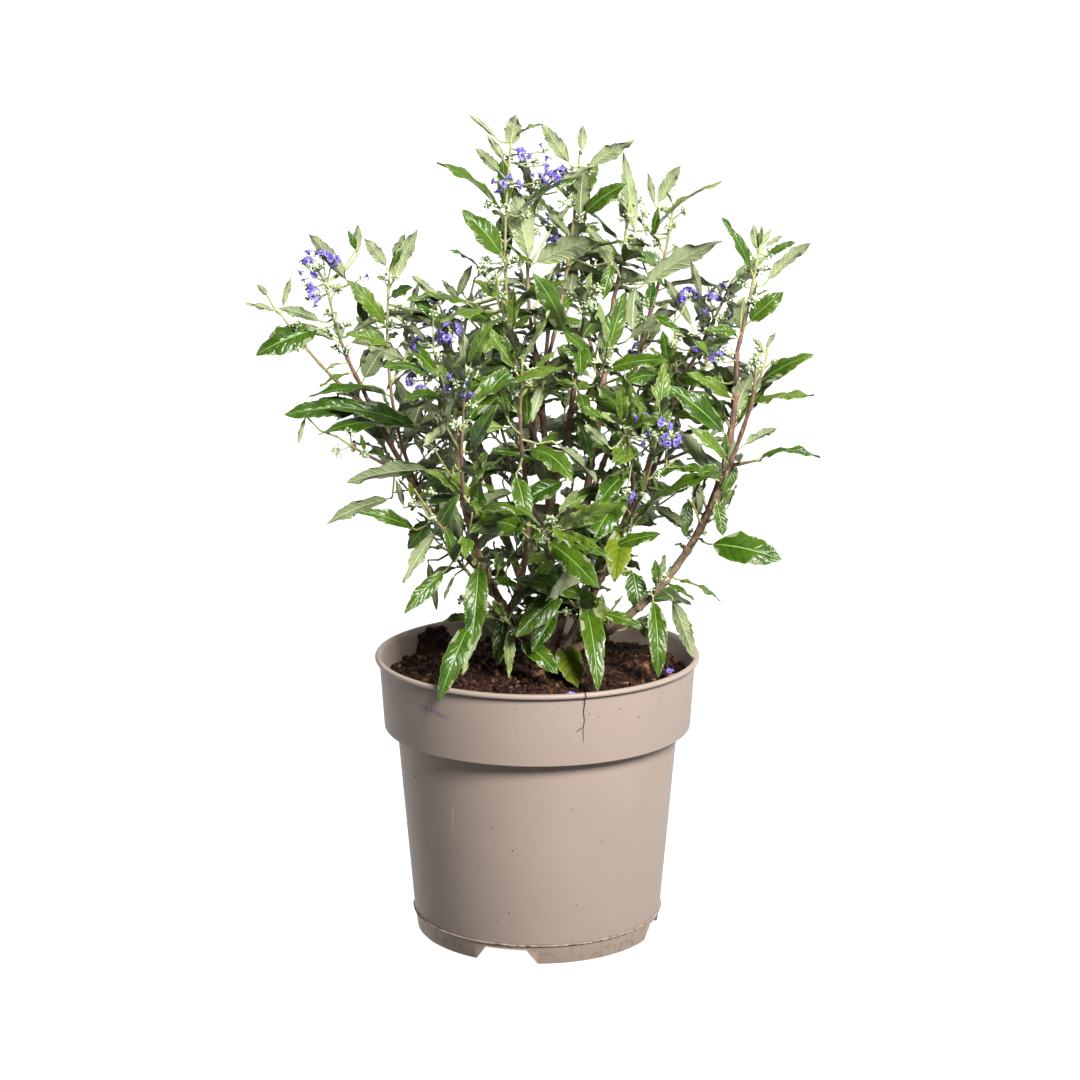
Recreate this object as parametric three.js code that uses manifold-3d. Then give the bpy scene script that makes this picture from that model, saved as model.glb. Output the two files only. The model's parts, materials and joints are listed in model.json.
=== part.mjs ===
// A caryopteris (bluebeard) shrub in a 190 mm nursery pot, in millimetres, +Z up.
// The origin is on the pot's axis, at the level of the surface that the pot stands on.
// The plant is a stool of woody stems that fork into boughs, and each bough carries sprays of leaves.
import * as THREE from "three";
import { mergeVertices } from "three/addons/utils/BufferGeometryUtils.js";
import Module from "manifold-3d";

const wasm = await Module();
wasm.setup();

// Driving dimensions
const CLEARANCE = 0.3; // between two pieces that touch on the real plant
const POT_HEIGHT = 166;
const RIM_RADIUS = 95; // outside of the rolled rim bead
const RIM_BEAD = 2.9; // height of the bead
const COLLAR_DEPTH = 42.5; // from the rim's top down to the step under the collar
const COLLAR_TOP_RADIUS = 92.5;
const COLLAR_FOOT_RADIUS = 89.9;
const BODY_TOP_RADIUS = 82.6;
const SEAM_HEIGHT = 11.4; // the moulding seam round the foot
const SEAM_RADIUS = 73;
const SEAM_PROUD = 0.8;
const FOOT_RADIUS = 71.5;
const WALL = 1.6;
const FLOOR_UNDERSIDE = 9.4; // the recessed base panel
const POT_SECTORS = 36;
const NOTCH_HEIGHT = 8.6;
const NOTCH_SLANT = 6; // how far each side of a foot notch leans in
const DRAIN_HOLES = 5;
const DRAIN_RADIUS = 4.5;
const DRAIN_CIRCLE = 56;
const SOIL_LEVEL = 157; // at the foot of the plant
const SOIL_FALL = 4; // how much lower it lies at the wall
const STOOL = new THREE.Vector3(9, 12, SOIL_LEVEL + CLEARANCE); // middle of the flat cut at soil level
const STOOL_FLARE = 13; // radius of the root flare at the soil
const STOOL_NECK = 8.4;
const STOOL_HEIGHT = 9;
const STUB_LENGTH = 15; // how far each main stem is part of the stool
const LEAF_LENGTH = 57; // of the longest; the leaves are fewer than the real plant's and a little larger
const LEAF_WIDTH = 0.33; // as a share of the length
const LEAF_KEEL = 0.5; // how far the midrib stands under the blade
const LEAF_ROOT = 0.5; // half the height of a leaf's root inside its stem
const STEM_RADIUS = 1.5; // of a spray's stem at its foot
const STEM_TIP = 0.75;
const TWIG_RADIUS = 0.95;
const BOUGH_TAPER = 0.58; // a bough's radius at its tip against its foot
const BOUGH_THINNEST = 1.2;
const BOUGH_SIDES = 6;
const TWIG_SIDES = 3;
const CROWN_SIDE = 164; // no leaf reaches further from the pot's axis to the left or right
const CROWN_DEPTH = 118; // nor further to the front or back
const NEIGHBOUR_SHARE = 0.62; // how near a neighbour's stem a leaf's middle may lie, against its own stem
const TIP_LEAVES = 15; // how far a spray's last leaves reach past its stem
const PAIR_GAPS = { share: 0.27, least: 15, most: 32, shrink: 0.92, last: 14 }; // between pairs of leaves
const TWIG_LENGTH = 44; // the longest side twig
const TWIG_NEEDS = 62; // the shortest stem that bears side twigs
const TWIG_TOP = 0.72; // side twigs grow below this share of a stem, and buds above it
const BUDS = { length: 10, radius: 2.6 };
const BLOSSOM = { length: 15, radius: 5.5 };

// Foot notches that let water out, by the angle of their middle and their width at the floor.
// 0 degrees faces the front of the pot, -Y, and angles run towards +X.
const NOTCHES = [
  { angle: -14.5, width: 36 },
  { angle: 75, width: 34 },
  { angle: 217, width: 35 },
];

// Boughs, each one tapering limb from its foot through a bend halfway to its tip.
// A main stem has its foot in the stool; any other leaves its parent at a share of the parent's length.
const BOUGHS = [
  { name: "centre", foot: [6, 9, 163], bend: [7, 14, 247], tip: [-1, 18, 340], radius: 2.8 },
  { name: "left", foot: [4, 7, 163], bend: [-30, -30, 222], tip: [-46, -50, 305], radius: 2.8 },
  { name: "right", foot: [16, 9, 162], bend: [90, -14, 236], tip: [113, -15, 345], radius: 2.7 },
  { name: "right_inner", foot: [13, 5, 163], bend: [37, 0, 210], tip: [53, -20, 260], radius: 2.4 },
  { name: "right_behind", foot: [16, 16, 163], bend: [52, 24, 240], tip: [84, 28, 322], radius: 2.5 },
  { name: "back", foot: [11, 19, 163], bend: [32, 40, 272], tip: [45, 48, 368], radius: 2.6 },
  { name: "back_left", foot: [4, 17, 163], bend: [-25, 52, 244], tip: [-50, 76, 318], radius: 2.5 },
  { name: "front", from: "left", at: 0.28, bend: [-6, -30, 235], tip: [-8, -52, 290], radius: 1.9 },
  { name: "far_left", from: "left", at: 0.45, bend: [-66, -15, 262], tip: [-100, -14, 326], radius: 1.9 },
  { name: "centre_right", from: "centre", at: 0.5, bend: [17, -6, 298], tip: [23, -26, 344], radius: 1.8 },
  { name: "right_low", from: "right", at: 0.5, bend: [106, -30, 276], tip: [117, -42, 312], radius: 1.7 },
  { name: "back_right", from: "back", at: 0.35, bend: [50, 62, 296], tip: [66, 72, 352], radius: 1.8 },
  { name: "back_centre", from: "back_left", at: 0.4, bend: [-4, 72, 272], tip: [6, 92, 336], radius: 1.8 },
  { name: "side_back", from: "right_behind", at: 0.4, bend: [68, 48, 264], tip: [90, 70, 306], radius: 1.7 },
];

// Sprays, the masses of leaves: each is one stem from a share of its bough's length to its own tip.
// leaf is the leaves' size against the usual, and bloom counts the blossom heads in its top axils.
const SPRAYS = [
  { name: "crown_left", on: "centre", at: 0.66, tip: [-16, 0, 476], leaf: 0.92, bloom: 3 },
  { name: "crown_centre", on: "centre", at: 1, tip: [-3, 24, 446], leaf: 0.85, bloom: 2 },
  { name: "crown_right", on: "centre", at: 0.9, tip: [27, 45, 467], leaf: 0.9 },
  { name: "upper_left", on: "centre", at: 0.8, tip: [-27, -28, 405], leaf: 0.95 },
  { name: "heart", on: "centre", at: 0.42, tip: [-34, 30, 345], leaf: 1 },
  { name: "bud_head", on: "centre_right", at: 1, tip: [28, -42, 392], leaf: 0.9 },
  { name: "heart_right", on: "centre_right", at: 0.6, tip: [46, -52, 362], leaf: 0.9 },
  { name: "front", on: "front", at: 1, tip: [-8, -76, 362], leaf: 0.95 },
  { name: "front_low", on: "front", at: 0.55, tip: [16, -98, 262], leaf: 1 },
  { name: "left", on: "left", at: 1, tip: [-60, -62, 368], leaf: 0.95, bloom: 3 },
  { name: "left_front", on: "left", at: 0.72, tip: [-38, -92, 352], leaf: 0.95, bloom: 2 },
  { name: "left_low", on: "left", at: 0.52, tip: [-74, -84, 288], leaf: 0.95 },
  { name: "left_rim", on: "left", at: 0.3, tip: [-46, -58, 214], leaf: 1 },
  { name: "left_side", on: "left", at: 0.36, tip: [-64, 14, 240], leaf: 0.9 },
  { name: "foot_left", on: "left", at: 0.17, tip: [-22, -48, 200], leaf: 0.95 },
  { name: "far_left", on: "far_left", at: 1, tip: [-122, -16, 396], leaf: 0.8, bloom: 3 },
  { name: "far_left_tip", on: "far_left", at: 0.9, tip: [-150, -30, 376], leaf: 0.72, bloom: 1 },
  { name: "far_left_low", on: "far_left", at: 0.62, tip: [-122, -48, 308], leaf: 0.95 },
  { name: "left_tall", on: "far_left", at: 0.48, tip: [-86, 16, 402], leaf: 0.82 },
  { name: "left_back", on: "far_left", at: 0.3, tip: [-96, 42, 306], leaf: 0.95 },
  { name: "right", on: "right", at: 1, tip: [127, -10, 413], leaf: 0.82 },
  { name: "right_side", on: "right", at: 0.82, tip: [138, 12, 356], leaf: 0.85, bloom: 1 },
  { name: "right_low", on: "right_low", at: 1, tip: [122, -54, 360], leaf: 0.82 },
  { name: "right_outer", on: "right_low", at: 0.6, tip: [136, -50, 292], leaf: 0.85 },
  { name: "right_rim", on: "right", at: 0.28, tip: [70, -44, 226], leaf: 0.92 },
  { name: "foot_front", on: "right_inner", at: 0.3, tip: [18, -46, 206], leaf: 0.95 },
  { name: "right_foot", on: "right", at: 0.42, tip: [100, 18, 250], leaf: 0.9 },
  { name: "right_front", on: "right_inner", at: 1, tip: [46, -74, 322], leaf: 0.9 },
  { name: "right_heart", on: "right_inner", at: 0.75, tip: [72, -50, 326], leaf: 0.9, bloom: 3 },
  { name: "behind_right", on: "right_behind", at: 1, tip: [119, 34, 392], leaf: 0.9, bloom: 2 },
  { name: "behind_inner", on: "right_behind", at: 0.75, tip: [80, 2, 372], leaf: 0.92 },
  { name: "tall_back", on: "back", at: 1, tip: [56, 56, 438], leaf: 0.95 },
  { name: "back_heart", on: "back", at: 0.7, tip: [12, 74, 412], leaf: 0.95, bloom: 1 },
  { name: "back_right", on: "back_right", at: 1, tip: [84, 84, 432], leaf: 0.9 },
  { name: "back_right_low", on: "back_right", at: 0.6, tip: [64, 106, 338], leaf: 0.95, bloom: 1 },
  { name: "side_back", on: "side_back", at: 1, tip: [114, 86, 352], leaf: 0.9, bloom: 1 },
  { name: "side_back_low", on: "side_back", at: 0.55, tip: [112, 62, 284], leaf: 0.92 },
  { name: "back_left", on: "back_left", at: 1, tip: [-66, 90, 376], leaf: 0.92, bloom: 2 },
  { name: "back_left_low", on: "back_left", at: 0.6, tip: [-98, 82, 300], leaf: 0.95 },
  { name: "back_left_inner", on: "back_left", at: 0.84, tip: [-36, 58, 392], leaf: 0.92 },
  { name: "back_centre", on: "back_centre", at: 1, tip: [10, 104, 388], leaf: 0.92, bloom: 1 },
  { name: "back_low", on: "back_centre", at: 0.5, tip: [-26, 108, 304], leaf: 0.95 },
  { name: "back_rim", on: "back_left", at: 0.3, tip: [26, 78, 226], leaf: 0.95 },
];

// Solids

// A closed geometry as a solid that can be joined and cut.
function solidOf(geometry) {
  const bare = new THREE.BufferGeometry();
  bare.setAttribute("position", geometry.getAttribute("position").clone());
  if (geometry.index) bare.setIndex(geometry.index.clone());
  const merged = mergeVertices(bare, 1e-4);
  return new wasm.Manifold(
    new wasm.Mesh({
      numProp: 3,
      vertProperties: new Float32Array(merged.attributes.position.array),
      triVerts: new Uint32Array(merged.index.array),
    }),
  );
}

// The largest body of a solid as a geometry about the point that its mesh is placed by.
function geometryOf(solid, place = new THREE.Vector3()) {
  const bodies = solid.decompose();
  const body = bodies.reduce((most, next) => (next.volume() > most.volume() ? next : most));
  const mesh = body.getMesh();
  const geometry = new THREE.BufferGeometry();
  geometry.setAttribute("position", new THREE.BufferAttribute(new Float32Array(mesh.vertProperties), 3));
  geometry.setIndex(new THREE.BufferAttribute(new Uint32Array(mesh.triVerts), 1));
  geometry.translate(-place.x, -place.y, -place.z);
  geometry.computeVertexNormals();
  return geometry;
}

function join(solids) {
  return wasm.Manifold.union(solids);
}

// Pot

const POT_INSIDE = {
  floor: FLOOR_UNDERSIDE + 2,
  floorRadius: SEAM_RADIUS - WALL,
  stepHeight: POT_HEIGHT - COLLAR_DEPTH + WALL,
  stepRadius: BODY_TOP_RADIUS - WALL,
  collarFootRadius: COLLAR_FOOT_RADIUS - WALL,
  collarTopRadius: COLLAR_TOP_RADIUS - WALL,
};

function potGeometry() {
  const step = POT_HEIGHT - COLLAR_DEPTH;
  const beadFoot = POT_HEIGHT - RIM_BEAD;
  const outside = [
    [0, FLOOR_UNDERSIDE],
    [FOOT_RADIUS - WALL + 1, FLOOR_UNDERSIDE],
    [FOOT_RADIUS - WALL, 0],
    [FOOT_RADIUS, 0],
    [SEAM_RADIUS, SEAM_HEIGHT - 0.5],
    [SEAM_RADIUS + SEAM_PROUD, SEAM_HEIGHT],
    [SEAM_RADIUS + 0.1, SEAM_HEIGHT + 0.6],
    [BODY_TOP_RADIUS, step],
    [COLLAR_FOOT_RADIUS - 0.5, step],
    [COLLAR_FOOT_RADIUS, step + 0.5],
    [COLLAR_TOP_RADIUS, beadFoot],
    [RIM_RADIUS, beadFoot + 0.5],
    [RIM_RADIUS, POT_HEIGHT - 0.9],
    [RIM_RADIUS - 1, POT_HEIGHT],
    [RIM_RADIUS - 3, POT_HEIGHT],
  ];
  const inside = [
    [POT_INSIDE.collarTopRadius, beadFoot],
    [POT_INSIDE.collarFootRadius, POT_INSIDE.stepHeight + 0.5],
    [POT_INSIDE.collarFootRadius - 0.5, POT_INSIDE.stepHeight],
    [POT_INSIDE.stepRadius, POT_INSIDE.stepHeight],
    [POT_INSIDE.floorRadius, POT_INSIDE.floor + 1],
    [POT_INSIDE.floorRadius - 1, POT_INSIDE.floor],
    [0, POT_INSIDE.floor],
  ];
  const profile = [...outside, ...inside].map(([radius, height]) => new THREE.Vector2(radius, height));
  const lathe = new THREE.LatheGeometry(profile, POT_SECTORS);
  lathe.rotateX(Math.PI / 2);
  return lathe;
}

// A foot notch as a wedge with slanted sides, to be cut out of the foot ring.
function notchGeometry({ angle, width }) {
  const half = width / 2;
  const outline = new THREE.Shape();
  outline.moveTo(-half - 1, -1);
  outline.lineTo(half + 1, -1);
  outline.lineTo(half - NOTCH_SLANT, NOTCH_HEIGHT);
  outline.lineTo(-half + NOTCH_SLANT, NOTCH_HEIGHT);
  outline.closePath();
  const reach = 16;
  const wedge = new THREE.ExtrudeGeometry(outline, { depth: reach, bevelEnabled: false });
  const turn = THREE.MathUtils.degToRad(angle);
  const along = new THREE.Vector3(Math.cos(turn), Math.sin(turn), 0);
  const up = new THREE.Vector3(0, 0, 1);
  const outward = new THREE.Vector3().crossVectors(along, up);
  const frame = new THREE.Matrix4().makeBasis(along, up, outward);
  frame.setPosition(outward.clone().multiplyScalar(FOOT_RADIUS - reach / 2));
  return wedge.applyMatrix4(frame);
}

function drainGeometry(number) {
  const turn = (number / DRAIN_HOLES) * 2 * Math.PI;
  const hole = new THREE.CylinderGeometry(DRAIN_RADIUS, DRAIN_RADIUS, 12, 8);
  hole.rotateX(Math.PI / 2);
  hole.translate(DRAIN_CIRCLE * Math.cos(turn), DRAIN_CIRCLE * Math.sin(turn), POT_INSIDE.floor);
  return hole;
}

function makePot() {
  const notches = NOTCHES.map((notch) => solidOf(notchGeometry(notch)));
  const drains = Array.from({ length: DRAIN_HOLES }, (_, number) => solidOf(drainGeometry(number)));
  return solidOf(potGeometry()).subtract(join([...notches, ...drains]));
}

// Soil

// Height of the peat: level round the plant's foot, falling and rolling a little towards the wall.
function soilHeight(x, y) {
  const away = Math.hypot(x - STOOL.x, y - STOOL.y);
  const slope = THREE.MathUtils.smoothstep(away, STOOL_FLARE + 3, RIM_RADIUS);
  const roll = Math.sin(x / 17 + 0.6) * Math.cos(y / 13) + 0.6 * Math.sin((x + 2 * y) / 23);
  return SOIL_LEVEL - slope * (SOIL_FALL - 1.2 * roll);
}

function soilGeometry() {
  const gap = CLEARANCE + 0.05;
  const inside = POT_INSIDE;
  const edge = inside.collarTopRadius - 1.3;
  const profile = [
    [0, inside.floor + gap],
    [inside.floorRadius - 1.4, inside.floor + gap],
    [inside.floorRadius - gap, inside.floor + 1 + gap],
    [inside.stepRadius - gap, inside.stepHeight + gap],
    [inside.collarFootRadius - 0.5 - gap, inside.stepHeight + gap],
    [inside.collarFootRadius - gap, inside.stepHeight + 0.5 + gap],
    [edge, SOIL_LEVEL],
    [70, SOIL_LEVEL],
    [48, SOIL_LEVEL],
    [28, SOIL_LEVEL],
    [0, SOIL_LEVEL],
  ];
  const points = profile.map(([radius, height]) => new THREE.Vector2(radius, height));
  const lathe = new THREE.LatheGeometry(points, POT_SECTORS);
  lathe.rotateX(Math.PI / 2);
  const place = lathe.getAttribute("position");
  for (let corner = 0; corner < place.count; corner += 1) {
    if (place.getZ(corner) < SOIL_LEVEL - 0.01) continue;
    place.setZ(corner, soilHeight(place.getX(corner), place.getY(corner)));
  }
  return lathe;
}

// Limbs

function curveThrough(foot, bend, tip) {
  const handle = bend.clone().multiplyScalar(2).addScaledVector(foot, -0.5).addScaledVector(tip, -0.5);
  return new THREE.QuadraticBezierCurve3(foot, handle, tip);
}

function curveLength(curve) {
  const straight = curve.v0.distanceTo(curve.v2);
  const round = curve.v0.distanceTo(curve.v1) + curve.v1.distanceTo(curve.v2);
  return (2 * straight + round) / 3;
}

// Two directions square to a stem, the same way round all along it.
function crossAxes(direction) {
  const across = new THREE.Vector3(0, 1, 0).cross(direction).normalize();
  const over = new THREE.Vector3().crossVectors(direction, across);
  return [across, over];
}

// A round tapering limb along part of a curve: a capped cone bent onto it.
function limbGeometry(curve, { radius, sides, steps, start = 0, end = 1, swell = 0 }) {
  const [thick, thin] = radius;
  const cone = new THREE.CylinderGeometry(1, 1, 1, sides, steps);
  const place = cone.getAttribute("position");
  for (let corner = 0; corner < place.count; corner += 1) {
    const share = THREE.MathUtils.lerp(start, end, place.getY(corner) + 0.5);
    const middle = curve.getPoint(share);
    const [across, over] = crossAxes(curve.getTangent(THREE.MathUtils.clamp(share, 0, 1)));
    const reach = THREE.MathUtils.lerp(thick, thin, share) + swell;
    middle.addScaledVector(across, place.getX(corner) * reach);
    middle.addScaledVector(over, -place.getZ(corner) * reach);
    place.setXYZ(corner, middle.x, middle.y, middle.z);
  }
  return cone;
}

function boughShape(bough, extra = {}) {
  const steps = Math.max(3, Math.round(bough.length / 28));
  const thin = Math.max(BOUGH_THINNEST, BOUGH_TAPER * bough.radius);
  return { radius: [bough.radius, thin], sides: BOUGH_SIDES, steps, ...extra };
}

// The bough as a slightly larger solid, which leaves the clearance round it when it is cut away.
function clearingRound(bough) {
  const beyond = 1 + CLEARANCE / bough.length;
  const grown = boughShape(bough, { swell: CLEARANCE, end: beyond });
  return solidOf(limbGeometry(bough.curve, grown));
}

const boughs = new Map();
for (const plan of BOUGHS) {
  const parent = boughs.get(plan.from);
  const foot = parent ? parent.curve.getPoint(plan.at) : new THREE.Vector3(...plan.foot);
  const curve = curveThrough(foot, new THREE.Vector3(...plan.bend), new THREE.Vector3(...plan.tip));
  boughs.set(plan.name, { ...plan, parent, curve, length: curveLength(curve) });
}

// Stool, the short trunk at soil level

function flareGeometry(swell = 0) {
  const profile = [
    [0, -swell],
    [STOOL_FLARE + swell, -swell],
    [STOOL_FLARE * 0.8 + swell, STOOL_HEIGHT * 0.25],
    [STOOL_NECK + swell, STOOL_HEIGHT * 0.65],
    [STOOL_NECK * 0.9 + swell, STOOL_HEIGHT],
    [0, STOOL_HEIGHT * 1.25 + swell],
  ];
  const points = profile.map(([radius, height]) => new THREE.Vector2(radius, height));
  const lathe = new THREE.LatheGeometry(points, 20);
  lathe.rotateX(Math.PI / 2);
  const place = lathe.getAttribute("position");
  for (let corner = 0; corner < place.count; corner += 1) {
    const low = THREE.MathUtils.clamp(1 - place.getZ(corner) / STOOL_HEIGHT, 0, 1);
    const lobe = 1 + 0.16 * low * Math.cos(5 * Math.atan2(place.getY(corner), place.getX(corner)));
    place.setXYZ(corner, place.getX(corner) * lobe, place.getY(corner) * lobe, place.getZ(corner));
  }
  lathe.translate(STOOL.x, STOOL.y, STOOL.z);
  return lathe;
}

// The stool joined with the first stretch of each main stem that rises from it.
function makeTrunk(swell = 0) {
  const mains = [...boughs.values()].filter((bough) => !bough.parent);
  const stubs = mains.map((bough) => {
    const end = (STUB_LENGTH + swell) / bough.length;
    return solidOf(limbGeometry(bough.curve, boughShape(bough, { steps: 1, end, swell })));
  });
  return join([solidOf(flareGeometry(swell)), ...stubs]);
}

function makeBough(bough) {
  const whole = solidOf(limbGeometry(bough.curve, boughShape(bough)));
  return whole.subtract(bough.parent ? clearingRound(bough.parent) : makeTrunk(CLEARANCE));
}

// Leaves

// Random numbers that are the same in every run.
function seededDraw(seed) {
  let state = 7919 * seed + 104729;
  return (low, high) => {
    state = (state * 48271) % 2147483647;
    return low + ((high - low) * state) / 2147483647;
  };
}

// A leaf's middle line: it leaves its stem along one direction and sags towards another.
function leafOf(root, start, side, length, sag) {
  const finish = start.clone().addScaledVector(new THREE.Vector3(0, 0, 1), -sag).normalize();
  const half = root.clone().addScaledVector(start, length / 2);
  const tip = half.clone().addScaledVector(finish, length / 2);
  const line = new THREE.QuadraticBezierCurve3(root.clone(), half, tip);
  return { line, side, length, width: LEAF_WIDTH * length };
}

// Six corners and eight faces: a keeled blade, widest before its middle, with a thick root.
function leafGeometry(leaf, swell = 0) {
  const widest = leaf.line.getPoint(0.42);
  const along = leaf.line.getTangent(0.42);
  const face = new THREE.Vector3().crossVectors(leaf.side, along).normalize();
  const half = leaf.width / 2 + swell;
  const fold = 0.14 * leaf.width;
  const root = leaf.line.v0;
  const corners = [
    root.clone().addScaledVector(face, LEAF_ROOT + swell),
    root.clone().addScaledVector(face, -LEAF_ROOT - swell),
    widest.clone().addScaledVector(leaf.side, half).addScaledVector(face, fold + swell),
    widest.clone().addScaledVector(leaf.side, -half).addScaledVector(face, fold + swell),
    widest.clone().addScaledVector(face, -LEAF_KEEL - swell),
    leaf.line.v2.clone().addScaledVector(leaf.line.getTangent(1), swell),
  ];
  const [top, foot, left, right, keel, tip] = [0, 1, 2, 3, 4, 5];
  const faces = [
    [top, left, right],
    [left, tip, right],
    [foot, keel, left],
    [foot, right, keel],
    [keel, tip, left],
    [keel, right, tip],
    [top, foot, left],
    [top, right, foot],
  ];
  const geometry = new THREE.BufferGeometry().setFromPoints(corners);
  geometry.setIndex(faces.flat());
  return geometry;
}

// A head of buds or blossom: an eight-sided spindle rooted in its stem.
function headGeometry(head, swell = 0) {
  const [across, over] = crossAxes(head.out);
  const belly = head.root.clone().addScaledVector(head.out, head.length * 0.62);
  const reach = head.radius + swell;
  const corners = [
    head.root.clone(),
    belly.clone().addScaledVector(across, reach),
    belly.clone().addScaledVector(over, reach),
    belly.clone().addScaledVector(across, -reach),
    belly.clone().addScaledVector(over, -reach),
    head.root.clone().addScaledVector(head.out, head.length + swell),
  ];
  const faces = [1, 2, 3, 4].flatMap((corner) => {
    const next = (corner % 4) + 1;
    return [0, next, corner, 5, corner, next];
  });
  const geometry = new THREE.BufferGeometry().setFromPoints(corners);
  geometry.setIndex(faces);
  return geometry;
}

// Growth: stems, leaves and heads as lines and sizes, by a rule that is the same in every run

// How long a leaf is along a stem, against the longest: fullest low down and small at the tip.
function leafShare(share) {
  return 0.84 + 0.5 * share - 0.96 * share * share;
}

// A pair of opposite leaves at a share of a stem's length, a quarter turn on from the pair below.
function leafPair(stem, share, turn, size, draw) {
  const root = stem.getPoint(share);
  const up = stem.getTangent(share);
  const [across, over] = crossAxes(up);
  return [0, Math.PI].map((opposite) => {
    const angle = turn + opposite + draw(-0.22, 0.22);
    const outward = across.clone().multiplyScalar(Math.cos(angle)).addScaledVector(over, Math.sin(angle));
    const rise = THREE.MathUtils.degToRad(26 + 36 * share + draw(-9, 9));
    const start = outward.clone().multiplyScalar(Math.cos(rise)).addScaledVector(up, Math.sin(rise));
    const level = new THREE.Vector3().crossVectors(outward, up).normalize();
    const side = level.applyAxisAngle(start, draw(-0.35, 0.35));
    const length = size * leafShare(share) * draw(0.86, 1.14);
    return leafOf(root, start, side, length, Math.max(0.05, 1.3 - 1.1 * share + draw(-0.35, 0.35)));
  });
}

// The lower pairs stand far apart and the upper ones close together.
function pairPlaces(length) {
  const places = [];
  let gap = THREE.MathUtils.clamp(PAIR_GAPS.share * length, PAIR_GAPS.least, PAIR_GAPS.most);
  let along = 0.6 * gap;
  while (along < length - PAIR_GAPS.last / 2) {
    places.push(along / length);
    along += gap;
    gap = Math.max(PAIR_GAPS.last, gap * PAIR_GAPS.shrink);
  }
  return places;
}

// A short side twig from a leaf's axil, with leaves of its own.
function sideTwig(stem, share, turn, length, size, draw) {
  const root = stem.getPoint(share);
  const up = stem.getTangent(share);
  const [across, over] = crossAxes(up);
  const outward = across.clone().multiplyScalar(Math.cos(turn)).addScaledVector(over, Math.sin(turn));
  const start = outward.add(up).normalize();
  const half = root.clone().addScaledVector(start, length / 2);
  const rise = start.clone().addScaledVector(new THREE.Vector3(0, 0, 1), 0.5).normalize();
  const tip = half.clone().addScaledVector(rise, length / 2);
  const line = new THREE.QuadraticBezierCurve3(root, half, tip);
  const leaves = leafPair(line, 0.9, turn + Math.PI / 2, 1.25 * size, draw);
  return { line, length, leaves };
}

function growSpray(plan, number) {
  const bough = boughs.get(plan.on);
  const draw = seededDraw(number + 1);
  const foot = bough.curve.getPoint(plan.at);
  const reach = new THREE.Vector3(...plan.tip);
  const course = reach.clone().sub(foot).normalize();
  const tip = reach.addScaledVector(course, -TIP_LEAVES * plan.leaf);
  const outward = new THREE.Vector3(tip.x - STOOL.x, tip.y - STOOL.y, 0).normalize();
  const leave = course.addScaledVector(outward, 0.4);
  if (plan.at === 1) {
    const onward = bough.curve.getTangent(1);
    const bend = leave.addScaledVector(onward, 1.2).angleTo(onward);
    foot.addScaledVector(onward, CLEARANCE + STEM_RADIUS * Math.sin(bend));
  }
  const handle = foot.clone().addScaledVector(leave.normalize(), 0.42 * foot.distanceTo(tip));
  const stem = new THREE.QuadraticBezierCurve3(foot, handle, tip);
  const length = curveLength(stem);
  const size = LEAF_LENGTH * plan.leaf;
  const firstTurn = draw(0, Math.PI);
  const places = pairPlaces(length);
  const leaves = [];
  const twigs = [];
  const heads = [];
  places.forEach((share, pair) => {
    const turn = firstTurn + (pair * Math.PI) / 2;
    leaves.push(...leafPair(stem, share, turn, size, draw));
    const twigLength = Math.min(TWIG_LENGTH, length * draw(0.28, 0.4));
    const twigTurn = turn + Math.PI * Math.round(draw(0, 1));
    const twigDraws = seededDraw(100 * (number + 1) + pair);
    if (pair % 2 === 1 && share < TWIG_TOP && length > TWIG_NEEDS) {
      twigs.push(sideTwig(stem, share, twigTurn, twigLength, size, twigDraws));
    }
    const blossom = places.length - pair <= (plan.bloom ?? 0);
    if (blossom || share > TWIG_TOP) heads.push(headAt(stem, share, turn, blossom ? BLOSSOM : BUDS));
  });
  const topTurn = firstTurn + (places.length * Math.PI) / 2;
  leaves.push(...leafPair(stem, 0.985, topTurn, size * 1.15, draw));
  return { ...plan, bough, stem, length, leaves, twigs, heads };
}

// A bud or blossom head in the axil of one leaf, standing up beside the stem.
function headAt(stem, share, turn, size) {
  const up = stem.getTangent(share);
  const [across, over] = crossAxes(up);
  const out = across.multiplyScalar(Math.cos(turn)).addScaledVector(over, Math.sin(turn));
  out.add(up).normalize();
  return { root: stem.getPoint(share), out, ...size };
}

const sprays = SPRAYS.map(growSpray);

// Each spray keeps to its own space

const LIMB_SEGMENTS = 8;

function segmentsOf(curve) {
  const points = curve.getPoints(LIMB_SEGMENTS);
  return points.slice(1).map((point, index) => new THREE.Line3(points[index], point));
}

function distanceTo(segments, point) {
  const nearest = new THREE.Vector3();
  const distances = segments.map((line) => line.closestPointToPoint(point, true, nearest).distanceTo(point));
  return Math.min(...distances);
}

for (const spray of sprays) spray.segments = segmentsOf(spray.stem);
for (const bough of boughs.values()) bough.segments = segmentsOf(bough.curve);

// A leaf stays in its space while its middle is nearer its own stem than a neighbour's,
// and it is skipped where it would touch a bough.
function keepsToSpace(leaf, spray) {
  const middle = leaf.line.getPoint(0.5);
  const own = distanceTo(spray.segments, middle);
  const crowded = sprays
    .filter((other) => other !== spray)
    .some((other) => distanceTo(other.segments, middle) < NEIGHBOUR_SHARE * own);
  const end = leaf.line.v2;
  const outside = Math.abs(end.x) > CROWN_SIDE || Math.abs(end.y) > CROWN_DEPTH;
  if (crowded || outside) return false;
  const clear = leaf.width / 4 + 2;
  return [0.4, 0.7, 1].every((share) => {
    const point = leaf.line.getPoint(share);
    return [...boughs.values()].every((bough) => distanceTo(bough.segments, point) > clear);
  });
}

function overlaps(one, other) {
  const apart = ["x", "y", "z"].some(
    (axis) => one.box.min[axis] > other.box.max[axis] || one.box.max[axis] < other.box.min[axis],
  );
  return !apart && one.solid.intersect(other.solid).volume() > 0;
}

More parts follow.
